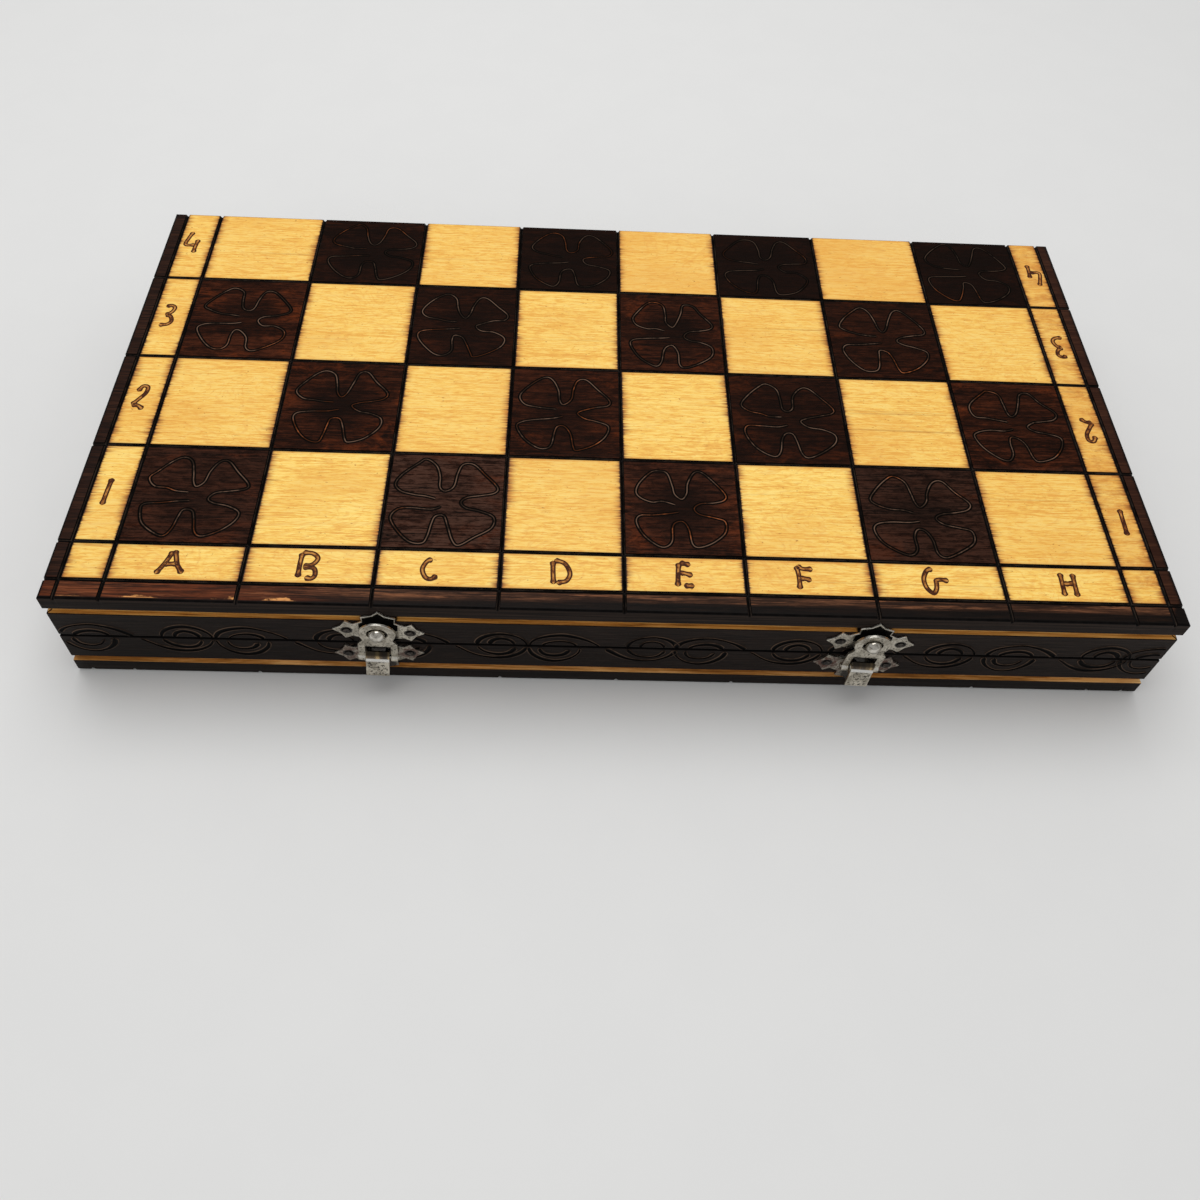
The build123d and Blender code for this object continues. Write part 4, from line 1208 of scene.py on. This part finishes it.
# Stands a man's shells down on the tray floor: tipped about X until base rim and head both touch, as in the CAD
def laidDown(shell, kind, place, row):
    height, base, head = men[kind][0], men[kind][1] * men["pitch"], men[kind][2] * men["pitch"]
    headRadius = men["knightHead"] if kind == "knight" else head
    tip = math.asin((base - headRadius) / (0.8 * height)) + math.pi / 2
    tip = -tip if place % 2 else tip
    c, s = math.cos(tip), math.sin(tip)
    laid, low = [], 1e9
    for points, faces in shell(height, base, head):
        y, z = points[:, 1], points[:, 2] - height / 2
        moved = np.stack([points[:, 0], y * c - z * s, y * s + z * c], -1)
        low = min(low, moved[:, 2].min())
        laid.append((moved, faces))
    offset = np.array([(place - 7.5) * men["pitch"], row, men["floor"] - low])
    return [(points + offset, faces, np.zeros(len(points))) for points, faces in laid]


menPlaces = {
    "rooks": (rookShell, (0, 7)), "knights": (knightShell, (1, 6)), "bishops": (bishopShell, (2, 5)),
    "queen": (queenShell, (3,)), "king": (kingShell, (4,)), "pawns": (pawnShell, range(8)),
}
for colour, material, first in (("light_", lightMan, 0), ("dark_", darkMan, 8)):
    for group, (shell, places) in menPlaces.items():
        row = men["pawnRow"] if group == "pawns" else men["officerRow"]
        laid = [part for place in places for part in laidDown(shell, group.rstrip("s"), place + first, row)]
        points, faces = joined(laid)[:2]
        node = colour + group
        makePiece(node + "_turned", points * mm, faces, [material], "tray", [node], sharpAt=40)
print("chessmen made")

# Countersunk screws of the hinge leaves

screw = {
    "spots": (-11.0, 0.0, 11.0), "inset": 5.2, "radius": 2.0, "crown": 0.06, "body": 0.9,
    "slot": 0.35, "slotDepth": 0.45,
}


# Head as a disc on rings and rays: a shallow dome, dropped by the slot depth wherever the point lies within the slot
def screwShell(x, y, z, up, turn):
    r = np.concatenate([[0.0], np.linspace(0.18, 1, 12)]) * screw["radius"]
    angle = np.linspace(0, 2 * np.pi, 48, endpoint=False)
    gx, gy = r[:, None] * np.cos(angle), r[:, None] * np.sin(angle)
    inSlot = np.abs(gx * math.sin(turn) - gy * math.cos(turn)) < screw["slot"]
    rise = screw["crown"] * (1 - (r[:, None] / screw["radius"]) ** 2) - screw["slotDepth"] * inSlot
    top = np.stack([x + gx, y + gy, z + up * rise], -1)
    under = top[-1:].copy()
    under[:, :, 2] = z - up * screw["body"]
    points = np.vstack([top, under, under * (0, 0, 1) + (x, y, 0)])
    return points.reshape(-1, 3), gridFaces(len(points), 48, closeColumns=True), np.zeros(points.size // 3)


for side in ("left_", "right_"):
    for half, up, body in (("lower_", 1, "tray"), ("upper_", -1, "lid")):
        low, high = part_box(side + "hinge_" + half + "leaf")
        x, y, z = (low.x + high.x) / 2 / mm, halfDepth - screw["inset"], seamZ - 0.1 * up
        heads = [screwShell(x + spot, y, z, up, 0.6 + 1.3 * i) for i, spot in enumerate(screw["spots"])]
        points, faces = joined(heads)[:2]
        makePiece(side + half + "hinge_screws", points * mm, faces, [brass], body, sharpAt=30)
print("hinge screws made")

# Floor, lights, camera

studio = {
    "sky": 0.56, "seen": 0.41, "keyPower": 10.1, "keySize": 1.1, "keyPlace": (-0.1, 0.28, 1.3), "floorHalf": 4,
    "focal": 34.565, "shift": -1 / 6, "cameraPlace": (-0.02665, -0.30525, 0.39866),
    "cameraTurn": (40.9016, -2.8906, -0.1312),
}


def floorRecipe():
    return {"Base Color": mix(ease(grain(30), 0.4, 0.6, 0.0, 0.04), "floor", "floorDim"), "Roughness": 0.6}


far = studio["floorHalf"]
floorMesh = bpy.data.meshes.new("floor")
floorMesh.from_pydata([(-far, -far, 0), (far, -far, 0), (far, far, 0), (-far, far, 0)], [], [(0, 1, 2, 3)])
floorMesh.materials.append(newMaterial("pale floor", floorRecipe))
addObject("floor", floorMesh)

# The backdrop is dimmer to the eye than as a light
world = bpy.data.worlds.new("studio")
bpy.context.scene.world = world
world.use_nodes = True
tree = world.node_tree
rays = addNode("ShaderNodeLightPath").socket.node.outputs
seen = largest(*(Value(rays[name]) for name in ("Is Camera Ray", "Is Glossy Ray", "Is Transmission Ray")))
backdrop = tree.nodes["Background"].inputs
plug(backdrop["Strength"], seen * (studio["seen"] - studio["sky"]) + studio["sky"])
plug(backdrop["Color"], (1, 1, 1, 1))

key = bpy.data.lights.new("overhead softbox", "AREA")
key.shape, key.size, key.energy = "SQUARE", studio["keySize"], studio["keyPower"]
keyLamp = addObject("overhead softbox", key)
keyLamp.location = studio["keyPlace"]
keyLamp.rotation_euler = (-Vector(studio["keyPlace"])).to_track_quat("-Z", "Y").to_euler()

lens = bpy.data.cameras.new("camera")
lens.lens, lens.sensor_width, lens.clip_start, lens.clip_end = studio["focal"], 36.0, 0.01, 50.0
lens.shift_y = studio["shift"]
camera = addObject("camera", lens)
camera.location = studio["cameraPlace"]
camera.rotation_euler = [math.radians(a) for a in studio["cameraTurn"]]
bpy.context.scene.camera = camera
bpy.context.scene.view_settings.view_transform = "Standard"

low, high = boxAtLoad
